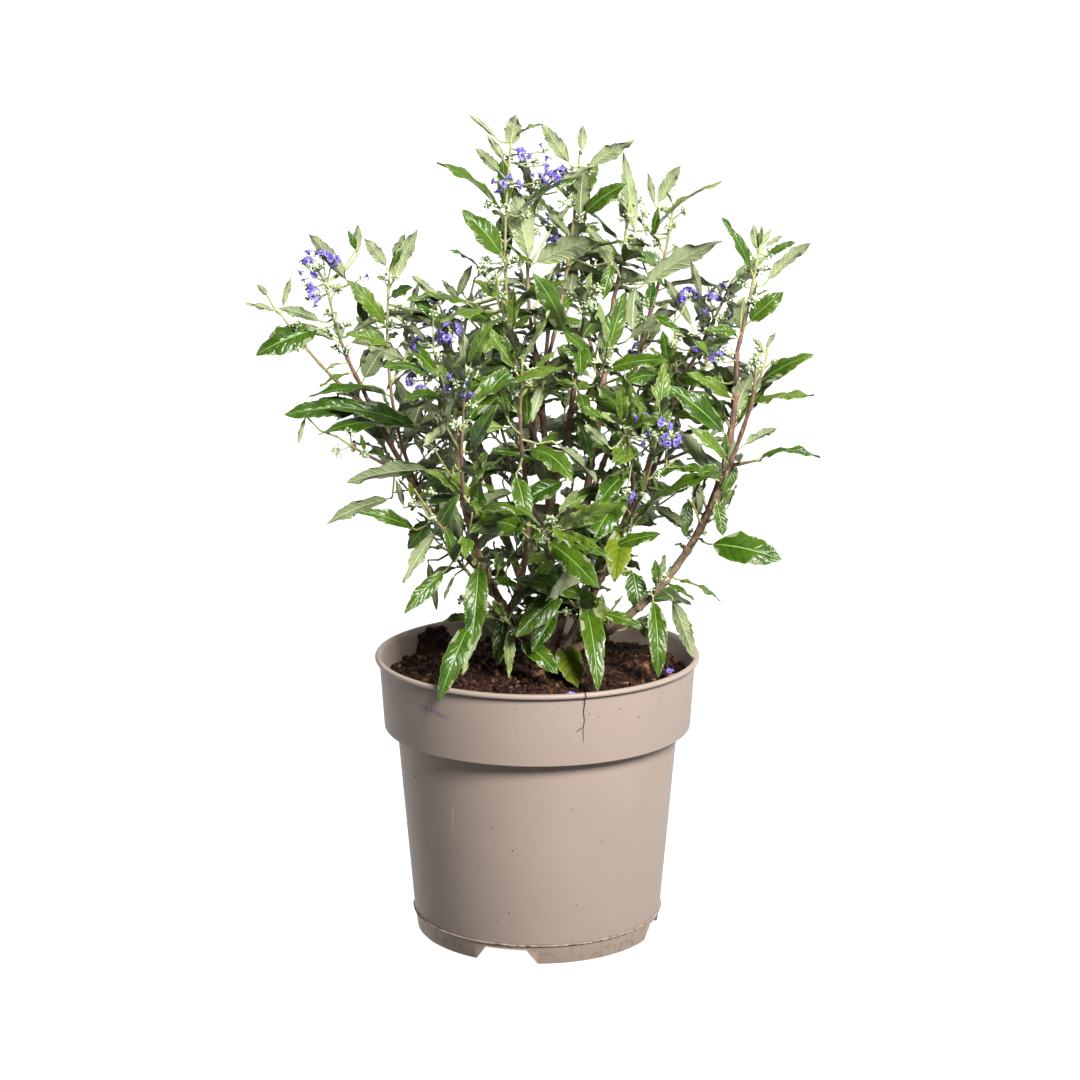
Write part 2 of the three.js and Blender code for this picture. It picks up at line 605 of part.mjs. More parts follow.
// A piece of the plant with its box, so that only near pieces are compared as solids.
function pieceOf(owner, geometry) {
  geometry.computeBoundingBox();
  return { owner, solid: solidOf(geometry), box: geometry.boundingBox };
}

const potSolid = makePot();
const soilSolid = solidOf(soilGeometry());
const trunkSolid = makeTrunk();
const settled = [];

function settleSolid(owner, solid) {
  settled.push(pieceOf(owner, geometryOf(solid)));
}

settleSolid("pot", potSolid);
settleSolid("soil", soilSolid);
settleSolid("trunk", trunkSolid);
for (const bough of boughs.values()) {
  bough.solid = makeBough(bough);
  settleSolid(bough, bough.solid);
}

function stemShape(length, radius) {
  return { radius, sides: TWIG_SIDES, steps: Math.max(2, Math.round(length / 24)) };
}

for (const spray of sprays) {
  const shape = stemShape(spray.length, [STEM_RADIUS, STEM_TIP]);
  const whole = solidOf(limbGeometry(spray.stem, shape));
  spray.solids = [whole];
  spray.trim = (solid) => (spray.at < 1 ? solid.subtract(clearingRound(spray.bough)) : solid);
  settleSolid(spray, spray.trim(whole));
}

// Adds a leaf, head or twig to its spray unless its slightly larger copy meets another spray or limb.
function tryPiece(spray, geometryWith) {
  const wide = pieceOf(spray, geometryWith(CLEARANCE));
  if (settled.some((other) => other.owner !== spray && overlaps(wide, other))) return false;
  const piece = pieceOf(spray, geometryWith(0));
  settled.push(piece);
  spray.solids.push(piece.solid);
  return true;
}

function growLeaves(spray, leaves) {
  for (const leaf of leaves) {
    if (keepsToSpace(leaf, spray)) tryPiece(spray, (swell) => leafGeometry(leaf, swell));
  }
}

for (const spray of sprays) {
  for (const head of spray.heads) tryPiece(spray, (swell) => headGeometry(head, swell));
}
const mostLeaves = Math.max(...sprays.map((spray) => spray.leaves.length));
for (let number = 0; number < mostLeaves; number += 1) {
  for (const spray of sprays) growLeaves(spray, spray.leaves.slice(number, number + 1));
}
for (const spray of sprays) {
  for (const twig of spray.twigs) {
    const shape = stemShape(twig.length, [TWIG_RADIUS, STEM_TIP]);
    const grown = tryPiece(spray, (swell) => limbGeometry(twig.line, { ...shape, swell }));
    if (grown) growLeaves(spray, twig.leaves);
  }
}

// Materials

function finish(colour, roughness) {
  return new THREE.MeshStandardMaterial({ color: colour, roughness, metalness: 0 });
}

const FINISH = {
  pot: finish(0xb3a294, 0.62),
  soil: finish(0x33231b, 0.95),
  bark: finish(0x6b4a3a, 0.8),
  leaves: finish(0x4f7a3a, 0.45),
};

// Assembly

const shrub = new THREE.Group();
const container = new THREE.Group();
const plant = new THREE.Group();
shrub.add(container, plant);

// Places a solid as a named mesh whose own origin is its foot.
function place(group, name, solid, material, foot) {
  const mesh = new THREE.Mesh(geometryOf(solid, foot), material.clone());
  mesh.name = name;
  mesh.position.copy(foot);
  group.add(mesh);
}

place(container, "pot", potSolid, FINISH.pot, new THREE.Vector3());
place(container, "soil", soilSolid, FINISH.soil, new THREE.Vector3(0, 0, POT_INSIDE.floor));
place(plant, "trunk", trunkSolid, FINISH.bark, STOOL);
for (const bough of boughs.values()) {
  place(plant, "bough_" + bough.name, bough.solid, FINISH.bark, bough.curve.v0);
}
for (const spray of sprays) {
  place(plant, "spray_" + spray.name, spray.trim(join(spray.solids)), FINISH.leaves, spray.stem.v0);
}

export default shrub;
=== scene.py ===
# A young caryopteris (bluebeard) shrub in a taupe plastic nursery pot, in metres, +Z up.
import json
import math

import bmesh
import bpy
import mathutils
import numpy as np
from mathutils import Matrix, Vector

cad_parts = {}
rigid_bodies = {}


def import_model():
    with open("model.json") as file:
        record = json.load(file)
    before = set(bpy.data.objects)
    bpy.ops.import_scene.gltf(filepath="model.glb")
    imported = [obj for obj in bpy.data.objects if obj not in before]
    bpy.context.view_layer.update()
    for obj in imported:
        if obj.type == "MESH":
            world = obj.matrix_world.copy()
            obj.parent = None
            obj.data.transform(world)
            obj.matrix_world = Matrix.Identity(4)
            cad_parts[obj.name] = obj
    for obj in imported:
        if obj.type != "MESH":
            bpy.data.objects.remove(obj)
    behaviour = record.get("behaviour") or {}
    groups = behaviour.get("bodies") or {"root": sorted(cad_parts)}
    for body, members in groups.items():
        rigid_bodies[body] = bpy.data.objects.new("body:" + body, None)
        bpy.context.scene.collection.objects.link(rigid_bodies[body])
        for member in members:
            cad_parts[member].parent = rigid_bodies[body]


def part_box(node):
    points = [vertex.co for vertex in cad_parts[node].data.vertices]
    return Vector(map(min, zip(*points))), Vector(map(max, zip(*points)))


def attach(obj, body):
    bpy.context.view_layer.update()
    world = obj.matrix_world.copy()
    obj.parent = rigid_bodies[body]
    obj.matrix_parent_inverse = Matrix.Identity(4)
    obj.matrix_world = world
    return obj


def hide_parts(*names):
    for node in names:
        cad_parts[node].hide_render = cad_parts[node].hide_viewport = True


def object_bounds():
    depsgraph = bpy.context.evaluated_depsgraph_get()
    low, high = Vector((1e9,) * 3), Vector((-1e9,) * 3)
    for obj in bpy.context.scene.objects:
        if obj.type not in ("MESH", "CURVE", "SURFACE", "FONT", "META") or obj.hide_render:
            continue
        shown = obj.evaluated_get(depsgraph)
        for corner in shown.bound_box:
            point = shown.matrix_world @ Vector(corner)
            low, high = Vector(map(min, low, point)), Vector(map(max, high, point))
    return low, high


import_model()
cad_low, cad_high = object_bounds()

# View
# The camera stands where the photograph was taken, a pace and a half away and a little above the crown,
# and looks down on the rim of the pot.
VIEW_PLACE = (0.0016, -1.492, 0.560)
VIEW_TILT = math.radians(12.36)
VIEW_LENS = 87.7

view_data = bpy.data.cameras.new("view")
view_data.lens = VIEW_LENS
view_data.sensor_width = 36
view_data.clip_end = 400
view = bpy.data.objects.new("view", view_data)
view.location = VIEW_PLACE
view.rotation_euler = (math.pi / 2 - VIEW_TILT, 0, 0)
bpy.context.collection.objects.link(view)
bpy.context.scene.camera = view

# Pot
# A thin-walled nursery pot, moulded in taupe plastic: a rolled bead at the rim, a deep collar that stands
# out over a tapering body, a moulding seam and a foot ring with three notches that let water out.
POT_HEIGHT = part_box("pot")[1].z
RIM_RADIUS = 0.095
RIM_BEAD = 0.0029
COLLAR_DEPTH = 0.0425
COLLAR_TOP_RADIUS = 0.0925
COLLAR_FOOT_RADIUS = 0.0899
COLLAR_EDGE = 0.0005
BODY_TOP_RADIUS = 0.0826
SEAM_HEIGHT = 0.0114
SEAM_RADIUS = 0.073
SEAM_PROUD = 0.0008
FOOT_RADIUS = 0.0715
WALL = 0.0016
FLOOR_UNDERSIDE = 0.0094
POT_SECTORS = 288
NOTCHES = [(-14.5, 0.036), (75, 0.034), (217, 0.035)]
NOTCH_HEIGHT = 0.0086
NOTCH_SLANT = 0.006
NOTCH_REACH = 0.008
DRAIN_HOLES = 5
DRAIN_RADIUS = 0.0045
DRAIN_CIRCLE = 0.056
DRAIN_SIDES = 24
CREASE = math.radians(38)
WALL_DRIFT = 0.00008
SMUDGE_LEFT = 0.0575
SMUDGE_HEIGHT = 0.1401
SCUFF_LEFT = 0.048
SCUFF_HEIGHT = 0.0853


class Socket:
    """A value or colour inside one material; sums with it add the nodes that work them out."""

    def __init__(self, tree, output):
        self.tree = tree
        self.output = output

    def node(self, kind, settings=None, sockets=None, out=0):
        """A new node: its settings are made first, then the values or links of its sockets."""
        made = self.tree.nodes.new(kind)
        for name, value in (settings or {}).items():
            if name == "stops":
                ramp = made.color_ramp.elements
                for number, (place, colour) in enumerate(value):
                    stop = ramp[number] if number < len(ramp) else ramp.new(place)
                    stop.position = place
                    stop.color = (*colour, 1)
            else:
                setattr(made, name, value)
        for name, value in (sockets or {}).items():
            if isinstance(value, Socket):
                self.tree.links.new(value.output, made.inputs[name])
            else:
                made.inputs[name].default_value = value
        return Socket(self.tree, made.outputs[out])

    def beside(self, output):
        """Another output of the node that this value comes from."""
        return Socket(self.tree, self.output.node.outputs[output])

    def maths(self, operation, *others):
        """This value, and others after it, through one operation of the maths node."""
        return self.node("ShaderNodeMath", {"operation": operation}, dict(enumerate((self, *others))))

    def __add__(self, other):
        return self.maths("ADD", other)

    def __sub__(self, other):
        return self.maths("SUBTRACT", other)

    def __rsub__(self, other):
        return self * -1 + other

    def __mul__(self, other):
        return self.maths("MULTIPLY", other)

    def __pow__(self, power):
        return self.maths("POWER", power)

    def __abs__(self):
        return self.maths("ABSOLUTE")

    __radd__ = __add__
    __rmul__ = __mul__

    def step(self, low, high):
        """0 below low and 1 above high, smooth between them; low may be the greater."""
        ends = {"From Min": low, "From Max": high, "Value": self}
        return self.node("ShaderNodeMapRange", {"interpolation_type": "SMOOTHSTEP"}, ends)

    def tint(self, under, over):
        """One colour where this value is 0, and the other where it is 1."""
        colours = [c if isinstance(c, Socket) else (*c, 1) for c in (under, over)]
        sockets = {0: self, 6: colours[0], 7: colours[1]}
        return self.node("ShaderNodeMix", {"data_type": "RGBA"}, sockets, out=2)

    def noise(self, size, detail=4, roughness=0.55):
        """Cloudy noise over this place, with features of that size."""
        sockets = {"Vector": self, "Scale": 1 / size, "Detail": detail, "Roughness": roughness}
        return self.node("ShaderNodeTexNoise", {}, sockets)

    def relief(self, depth, strength=1.0):
        """The surface's normal once this height, times that depth, stands out of it."""
        return self.node("ShaderNodeBump", {}, {"Height": self, "Distance": depth, "Strength": strength})


def new_finish(name, coordinates="Object"):
    """A material, the place on the surface that its patterns start from, and its shader."""
    finish = bpy.data.materials.new(name)
    finish.use_nodes = True
    tree = finish.node_tree
    shader = tree.nodes["Principled BSDF"]
    place = tree.nodes.new("ShaderNodeTexCoord").outputs[coordinates]
    return finish, Socket(tree, place), shader


def set_shader(shader, **sockets):
    """Sets the shader's own sockets, to values or to what varies over the surface."""
    for name, value in sockets.items():
        socket = shader.inputs[name.replace("_", " ")]
        if isinstance(value, Socket):
            value.tree.links.new(value.output, socket)
        elif isinstance(value, tuple):
            socket.default_value = (*value, 1)
        else:
            socket.default_value = value


class Joined:
    """Many shapes of one kind, gathered into the mesh of one piece."""

    def __init__(self):
        self.corners = []
        self.faces = []
        self.looks = []
        self.across = []
        self.count = 0

    def add(self, corners, faces, look=0, across=None):
        """Adds a shape; across holds where each corner lies on the shape, for patterns that follow it."""
        corners = np.asarray(corners, float)
        self.corners.append(corners)
        self.faces.extend(tuple(corner + self.count for corner in face) for face in faces)
        self.looks.extend([look] * len(faces) if np.isscalar(look) else look)
        self.across.append(np.zeros((len(corners), 2)) if across is None else np.asarray(across))
        self.count += len(corners)

    def piece(self, name, finishes, nodes=(), smooth=True):
        """Makes the mesh, which rides on the part and stands for the nodes that it replaces."""
        mesh = bpy.data.meshes.new(name)
        mesh.from_pydata(np.concatenate(self.corners).tolist(), [], self.faces)
        for finish in finishes:
            mesh.materials.append(finish)
        mesh.polygons.foreach_set("material_index", self.looks)
        mesh.polygons.foreach_set("use_smooth", [smooth] * len(self.faces))
        corner_of = np.zeros(len(mesh.loops), int)
        mesh.loops.foreach_get("vertex_index", corner_of)
        layer = mesh.uv_layers.new(name="UVMap")
        layer.data.foreach_set("uv", np.concatenate(self.across)[corner_of].astype(np.float32).ravel())
        made = bpy.data.objects.new(name, mesh)
        bpy.context.collection.objects.link(made)
        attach(made, "root")
        if nodes:
            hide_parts(*nodes)
        return made


def grid_faces(rows, columns, closed=False):
    """Four-cornered faces between rows of corners; if closed, the last column joins the first."""
    faces = []
    for row in range(rows - 1):
        for column in range(columns if closed else columns - 1):
            onward = (column + 1) % columns
            low = row * columns
            faces.append((low + column, low + onward, low + columns + onward, low + columns + column))
    return faces


def polar(turn, radius, height):
    """A point by its angle round the pot, where 0 faces the front and angles run towards +X."""
    return (radius * math.sin(turn), -radius * math.cos(turn), height)


def arc(centre, reach, first, last, steps):
    """Points of a radius and height on an oval round a centre, from one angle in degrees to another."""
    turns = [math.radians(first + (last - first) * step / steps) for step in range(steps + 1)]
    return [(centre[0] + reach[0] * math.cos(turn), centre[1] + reach[1] * math.sin(turn)) for turn in turns]


def pot_profile():
    """Radius and height from the middle of the base, up the outside and down the inside."""
    step = POT_HEIGHT - COLLAR_DEPTH
    edge = COLLAR_EDGE
    bead = RIM_BEAD / 2
    inner_rim = RIM_RADIUS - 0.003
    seam = (SEAM_RADIUS - 0.0001, SEAM_HEIGHT)
    outside = [
        (0, FLOOR_UNDERSIDE),
        (FOOT_RADIUS - WALL + 0.001, FLOOR_UNDERSIDE),
        (FOOT_RADIUS - WALL, 0.0002),
        (FOOT_RADIUS - WALL + 0.0002, 0),
        (FOOT_RADIUS - 0.0004, 0),
        (FOOT_RADIUS, 0.0005),
        (SEAM_RADIUS - 0.0002, SEAM_HEIGHT - 0.0009),
        *arc(seam, (SEAM_PROUD + 0.0001, 0.0005), -80, 80, 4),
        (SEAM_RADIUS + 0.0002, SEAM_HEIGHT + 0.001),
        (BODY_TOP_RADIUS, step + 0.0001),
        (COLLAR_FOOT_RADIUS - 0.0011, step + 0.0001),
        *arc((COLLAR_FOOT_RADIUS - edge, step + edge), (edge, edge), -90, 0, 4),
        (COLLAR_TOP_RADIUS - 0.0001, POT_HEIGHT - RIM_BEAD - 0.0009),
        (COLLAR_TOP_RADIUS - 0.0005, POT_HEIGHT - RIM_BEAD - 0.0004),
        (COLLAR_TOP_RADIUS - 0.0004, POT_HEIGHT - RIM_BEAD + 0.0001),
        *arc((RIM_RADIUS - bead * 0.9, POT_HEIGHT - bead), (bead * 0.9, bead), -80, 80, 7),
        (inner_rim + 0.0004, POT_HEIGHT),
        (inner_rim - 0.0002, POT_HEIGHT - 0.0006),
    ]
    inside = [
        (COLLAR_TOP_RADIUS - WALL, POT_HEIGHT - RIM_BEAD),
        (COLLAR_FOOT_RADIUS - WALL, step + WALL + edge),
        (COLLAR_FOOT_RADIUS - WALL - edge, step + WALL),
        (BODY_TOP_RADIUS - WALL, step + WALL),
        (SEAM_RADIUS - WALL, FLOOR_UNDERSIDE + 0.003),
        (SEAM_RADIUS - WALL - 0.001, FLOOR_UNDERSIDE + 0.002),
        (0, FLOOR_UNDERSIDE + 0.002),
    ]
    return outside + inside


def turned(profile, sectors, uneven):
    """A mesh turned round the pot's axis; uneven moves each corner in or out by up to that much."""
    corners = []
    for radius, height in profile:
        for sector in range(sectors):
            turn = sector / sectors * 2 * math.pi
            around = mathutils.Vector((math.cos(turn) * 3, math.sin(turn) * 3, height * 40))
            drift = uneven * mathutils.noise.noise(around) * min(1, radius / FOOT_RADIUS)
            corners.append(polar(turn, radius + drift, height))
    mesh = bpy.data.meshes.new("turned")
    mesh.from_pydata(corners, [], grid_faces(len(profile), sectors, closed=True))
    build = bmesh.new()
    build.from_mesh(mesh)
    bmesh.ops.remove_doubles(build, verts=build.verts, dist=1e-6)
    bmesh.ops.recalc_face_normals(build, faces=build.faces)
    build.to_mesh(mesh)
    build.free()
    return mesh


def foot_notch(angle, width):
    """A wedge with slanted sides, as long as the foot ring is deep and to be cut out of it."""
    half = width / 2
    outline = [(-half - 0.001, -0.001), (half + 0.001, -0.001)]
    outline += [(half - NOTCH_SLANT, NOTCH_HEIGHT), (-half + NOTCH_SLANT, NOTCH_HEIGHT)]
    turn = math.radians(angle)
    corners = []
    for reach in (FOOT_RADIUS - NOTCH_REACH, FOOT_RADIUS + NOTCH_REACH):
        for along, height in outline:
            out = polar(turn, reach, height)
            corners.append((out[0] + along * math.cos(turn), out[1] + along * math.sin(turn), height))
    faces = [(0, 1, 2, 3), (7, 6, 5, 4), (0, 4, 5, 1), (1, 5, 6, 2), (2, 6, 7, 3), (3, 7, 4, 0)]
    return corners, faces


def drain_hole(number):
    """A round plug to be cut out of the base."""
    middle = polar(2 * math.pi * number / DRAIN_HOLES + math.pi / 2, DRAIN_CIRCLE, 0)
    corners = []
    for height in (FLOOR_UNDERSIDE - 0.004, FLOOR_UNDERSIDE + 0.006):
        for side in range(DRAIN_SIDES):
            turn = side / DRAIN_SIDES * 2 * math.pi
            x = middle[0] + DRAIN_RADIUS * math.cos(turn)
            corners.append((x, middle[1] + DRAIN_RADIUS * math.sin(turn), height))
    faces = grid_faces(2, DRAIN_SIDES, closed=True)
    faces += [tuple(reversed(range(DRAIN_SIDES))), tuple(range(DRAIN_SIDES, 2 * DRAIN_SIDES))]
    return corners, faces


def cut_away(mesh, cutters):
    """The mesh once the cutters' solids are taken out of it."""
    body = bpy.data.objects.new("body", mesh)
    bpy.context.collection.objects.link(body)
    tools = []
    for corners, faces in cutters:
        tool_mesh = bpy.data.meshes.new("tool")
        tool_mesh.from_pydata(corners, [], faces)
        build = bmesh.new()
        build.from_mesh(tool_mesh)
        bmesh.ops.recalc_face_normals(build, faces=build.faces)
        build.to_mesh(tool_mesh)
        build.free()
        tool = bpy.data.objects.new("tool", tool_mesh)
        bpy.context.collection.objects.link(tool)
        cut = body.modifiers.new("cut", "BOOLEAN")
        cut.object = tool
        cut.solver = "EXACT"
        tools.append(tool)
    bpy.context.view_layer.update()
    result = bpy.data.meshes.new_from_object(body.evaluated_get(bpy.context.evaluated_depsgraph_get()))
    for tool in (body, *tools):
        bpy.data.objects.remove(tool)
    return result


def pot_plastic():
    """Taupe plastic with a fine moulded grain, painted lighter on the foot ring as painted bounce light,
    soiled at the foot and marked at the front.
    """
    finish, place, shader = new_finish("pot_plastic")
    x = place.node("ShaderNodeSeparateXYZ", {}, {0: place})
    y = x.beside("Y")
    height = x.beside("Z")
    cloud = place.noise(0.045, 3)
    pebble = place.noise(0.0009, 3, 0.7)
    fine = place.noise(0.004, 5)
    taupe = (cloud.step(0.3, 0.7) * 0.5 + pebble * 0.5).tint((0.28, 0.22, 0.182), (0.308, 0.242, 0.2))
    # The foot ring below the seam is painted lighter and a little browner: painted bounce light, in place of
    # the light that the floor doesn't throw up on the pot.
    taupe = (height.step(0.0118, 0.0096) * 0.8).tint(taupe, (0.36, 0.275, 0.215))
    # Soil clings as a brown film about the foot, the seam and the inside of the wall.
    low = height.step(0.013, 0.005) * fine.step(0.5, 0.66)
    seam = abs(height - SEAM_HEIGHT).step(0.0016, 0.0005) * fine.step(0.44, 0.56)
    film = (low * 0.5).maths("MAXIMUM", seam * 0.85)
    soiled = film.tint(taupe, (0.2, 0.125, 0.08))
    # A violet smudge and a pale scuff, both on the front.
    smudge_x = abs(x + SMUDGE_LEFT).step(0.0105, 0.004)
    smudge_z = abs(height + x * 0.17 - SMUDGE_HEIGHT).step(0.0026, 0.0008)
    front = y.step(0.0, -0.02)
    smudge = smudge_x * smudge_z * front * place.noise(0.0022, 2).step(0.4, 0.55) * 0.8
    smudged = smudge.tint(soiled, (0.15, 0.085, 0.17))
    scuff_x = abs(x + SCUFF_LEFT).step(0.0007, 0.0003)
    scuff = scuff_x * front * abs(height - SCUFF_HEIGHT).step(0.0085, 0.005) * 0.3
    colour = scuff.tint(smudged, (0.6, 0.54, 0.48))
    rough = 0.5 + pebble * 0.14 + film * 0.2
    grain = (pebble * 0.85 + fine * 0.15).relief(0.00025, 0.6)
    set_shader(shader, Base_Color=colour, Roughness=rough, Normal=grain)
    set_shader(shader, IOR=1.49, Specular_IOR_Level=0.42)
    return finish


pot_mesh = cut_away(
    turned(pot_profile(), POT_SECTORS, WALL_DRIFT),
    [foot_notch(*notch) for notch in NOTCHES] + [drain_hole(number) for number in range(DRAIN_HOLES)],
)
pot_mesh.name = "nursery_pot"
pot_mesh.materials.clear()
pot_mesh.materials.append(pot_plastic())
pot_mesh.shade_smooth()
pot_mesh.set_sharp_from_angle(angle=CREASE)
pot = bpy.data.objects.new("nursery_pot", pot_mesh)
bpy.context.collection.objects.link(pot)
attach(pot, "root")
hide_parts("pot")

# Marks on the pot
# A split runs down the collar from the rim, pale strips stand out along the moulding seam, partly flash of
# plastic and partly a painted highlight on the seam's lip, and specks of dried peat stick to the wall and
# the bead.
SPLIT_TURN = math.radians(16.4)
SPLIT_LENGTH = 0.0262
SPLIT_WIDTH = 0.0009
SPLIT_STEPS = 8
SIDE_SPLIT = [(-0.05, 0.1432), (-0.03, 0.1444), (0.0, 0.1462)]
SPECKS = 560
MARK_LIFT = 0.0002
SEAM_PIECES = 150
SEED = 190


def wall_radius(height):
    """The pot's outside at a height on the collar or the body."""
    step = POT_HEIGHT - COLLAR_DEPTH
    if height > step:
        share = (height - step) / COLLAR_DEPTH
        return COLLAR_FOOT_RADIUS + share * (COLLAR_TOP_RADIUS - COLLAR_FOOT_RADIUS)
    share = (height - SEAM_HEIGHT) / (step - SEAM_HEIGHT)
    return SEAM_RADIUS + share * (BODY_TOP_RADIUS - SEAM_RADIUS)


def flat_finish(name, colour, roughness, mottle=0.25, size=0.002):
    """A finish of one colour, a little darker and lighter in small patches, with a fine grain."""
    finish, place, shader = new_finish(name)
    cloud = place.noise(size, 3)
    dark = tuple(channel * (1 - mottle) for channel in colour)
    light = tuple(min(1.0, channel * (1 + mottle)) for channel in colour)
    set_shader(shader, Base_Color=cloud.step(0.3, 0.7).tint(dark, light), Roughness=roughness)
    set_shader(shader, Normal=cloud.relief(size * 0.25, 0.5))
    return finish


random = np.random.default_rng(SEED)
marks = Joined()


def add_strip(points, widths, look):
    """A thin dark line lying on the wall, through points of a turn and a height."""
    corners = []
    for (turn, height), width in zip(points, widths):
        radius = wall_radius(height) + MARK_LIFT
        corners.append(polar(turn - width / radius / 2, radius, height))
        corners.append(polar(turn + width / radius / 2, radius, height))
    marks.add(corners, grid_faces(len(points), 2), look)


def add_bead_crack(turn, width):
    """The split where it passes over the bead."""
    half = RIM_BEAD / 2
    middle = (RIM_RADIUS - half * 0.9, POT_HEIGHT - half)
    corners = []
    for radius, height in arc(middle, (half * 0.9 + MARK_LIFT, half + MARK_LIFT), -70, 120, 9):
        corners.append(polar(turn - width / radius / 2, radius, height))
        corners.append(polar(turn + width / radius / 2, radius, height))
    marks.add(corners, grid_faces(10, 2), 0)


split = []
split_widths = []
for step in range(SPLIT_STEPS + 1):
    share = step / SPLIT_STEPS
    sway = 0.004 * math.sin(step * 1.9) - 0.011 * max(0.0, share - 0.7)
    split.append((SPLIT_TURN + sway, POT_HEIGHT - RIM_BEAD - share * SPLIT_LENGTH))
    split_widths.append(SPLIT_WIDTH * (1.1 - 0.8 * step / SPLIT_STEPS))
add_strip(split, split_widths, 0)
add_bead_crack(SPLIT_TURN, SPLIT_WIDTH)
side_split = [(SPLIT_TURN + turn, height) for turn, height in SIDE_SPLIT]
add_strip(side_split, [0.0003, 0.0011, 0.0005], 0)

# Pale strips along the seam: moulding flash, and a painted highlight along the seam's lip; some are dried
# peat.
for number in range(SEAM_PIECES):
    turn = (number + random.uniform(0, 1)) / SEAM_PIECES * 2 * math.pi
    reach = random.uniform(0.0006, 0.0017) / SEAM_RADIUS
    corners = []
    for step in range(4):
        place = turn + (step / 3 - 0.5) * 2 * reach
        low = SEAM_HEIGHT + random.uniform(-0.0003, 0.0002)
        radius = SEAM_RADIUS + SEAM_PROUD
        corners.append(polar(place, radius, low - 0.0001))
        edge = radius + random.uniform(0.0001, 0.0005)
        corners.append(polar(place, edge, low + random.uniform(0.0002, 0.0006)))
    marks.add(corners, grid_faces(4, 2), 2 if random.uniform(0, 1) < 0.72 else 1)

for _ in range(SPECKS):
    turn = random.uniform(0, 2 * math.pi)
    zone = random.uniform(0, 1)
    if zone < 0.5:
        height = POT_HEIGHT - RIM_BEAD - 0.001 - abs(random.normal(0, 0.009))
    elif zone < 0.8:
        height = SEAM_HEIGHT + 0.0015 + abs(random.normal(0, 0.01))
    else:
        height = random.uniform(0.02, 0.15)
    height = min(max(height, SEAM_HEIGHT + 0.001), POT_HEIGHT - RIM_BEAD - 0.0008)
    size = 0.00014 + 0.00056 * random.uniform(0, 1) ** 3
    radius = wall_radius(height)
    ring = [polar(turn, radius + size * 0.5, height)]
    for side in range(5):
        swing = side / 5 * 2 * math.pi
        reach = size * random.uniform(0.6, 1.2)
        spot_height = height + reach * math.sin(swing)
        spot_turn = turn + reach * math.cos(swing) / radius
        ring.append(polar(spot_turn, wall_radius(spot_height) + 0.00005, spot_height))
    marks.add(ring, [(0, side + 1, (side + 1) % 5 + 1) for side in range(5)], 1)
crack_dark = flat_finish("split_edge", (0.03, 0.022, 0.018), 0.9)
dried_peat = flat_finish("dried_peat", (0.1, 0.062, 0.04), 0.95)
# The seam's pale strips: moulding flash, and a painted highlight on the seam's lip.
seam_flash_and_highlight = flat_finish("seam_flash_and_highlight", (0.56, 0.48, 0.4), 0.5)
marks.piece("pot_marks", [crack_dark, dried_peat, seam_flash_and_highlight])

# Soil
# Damp fibrous peat that fills the pot to a finger's breadth under the rim: a lumpy surface with loose
# crumbs and root fibres on it, and a clod that leans against the wall at the back.
SOIL_LEVEL = 0.157
SOIL_FALL = 0.004
STOOL = np.array([0.009, 0.012, SOIL_LEVEL])
STOOL_FLARE = 0.013
SOIL_RINGS = 84
SOIL_SECTORS = 300
CLOD_ACROSS = -0.062
CLOD_BACK = 0.056
CLOD_RADIUS = 0.012
CLOD_HEIGHT = 0.013
CLOD_CRUMBS = 60
CRUMBS = 3600
CRUMB_REACH = 0.0875
FIBRES = 200
FIBRE_START = 0.084
FIBRE_REACH = 0.087


def soil_height(x, y):
    """The peat's level: flat round the plant's foot, falling and rolling a little towards the wall."""
    away = math.hypot(x - STOOL[0], y - STOOL[1])
    share = min(1.0, max(0.0, (away - STOOL_FLARE - 0.003) / (RIM_RADIUS - STOOL_FLARE - 0.003)))
    slope = share * share * (3 - 2 * share)
    roll = math.sin(x / 0.017 + 0.6) * math.cos(y / 0.013) + 0.6 * math.sin((x + 2 * y) / 0.023)
    return SOIL_LEVEL - slope * (SOIL_FALL - 0.0012 * roll)


def lumpy_height(x, y):
    """The level with its lumps, hollows and the leaning clod."""
    place = mathutils.Vector((x, y, 0))
    lump = mathutils.noise.noise(place * 110) + 0.6 * mathutils.noise.noise(place * 260)
    crumb = mathutils.noise.turbulence(place * 520, 3, True) - 0.6
    near = math.hypot(x - CLOD_ACROSS, y - CLOD_BACK) / CLOD_RADIUS
    clod = CLOD_HEIGHT * max(0.0, 1 - near**2) ** 0.7
    return soil_height(x, y) - 0.001 + 0.0021 * lump + 0.0022 * crumb + clod


def soil_edge(height):
    """The wall's inside radius where the peat meets it."""
    return wall_radius(height) - WALL - 0.0003


soil = Joined()
soil_corners = []
for ring in range(SOIL_RINGS):
    radius = soil_edge(SOIL_LEVEL - 0.003) * (ring / (SOIL_RINGS - 1))
    for sector in range(SOIL_SECTORS):
        turn = sector / SOIL_SECTORS * 2 * math.pi
        x, y, _ = polar(turn, radius, 0)
        soil_corners.append((x, y, lumpy_height(x, y)))
for sector in range(SOIL_SECTORS):
    low = SOIL_LEVEL - 0.02
    soil_corners.append(polar(sector / SOIL_SECTORS * 2 * math.pi, soil_edge(low), low))
soil.add(soil_corners, grid_faces(SOIL_RINGS + 1, SOIL_SECTORS, closed=True))


def peat_finish(name, dark, light, size=0.0022):
    """Damp peat, broken by fibres: near black in the hollows of its grain, partly painted shade, and brown
    on its crests where it has dried.
    """
    finish, place, shader = new_finish(name)
    grain = place.noise(size, 6, 0.68)
    patch = place.noise(size * 7, 2)
    # The colour follows the bump's grain: the dark hollows are painted shade as well as damp peat.
    colour = (grain * 0.7 + patch * 0.3).step(0.4, 0.62).tint(dark, light)
    set_shader(shader, Base_Color=colour, Roughness=grain.step(0.3, 0.7) * 0.35 + 0.6)
    set_shader(shader, Normal=grain.relief(0.0016, 0.9), Specular_IOR_Level=0.15)
    return finish


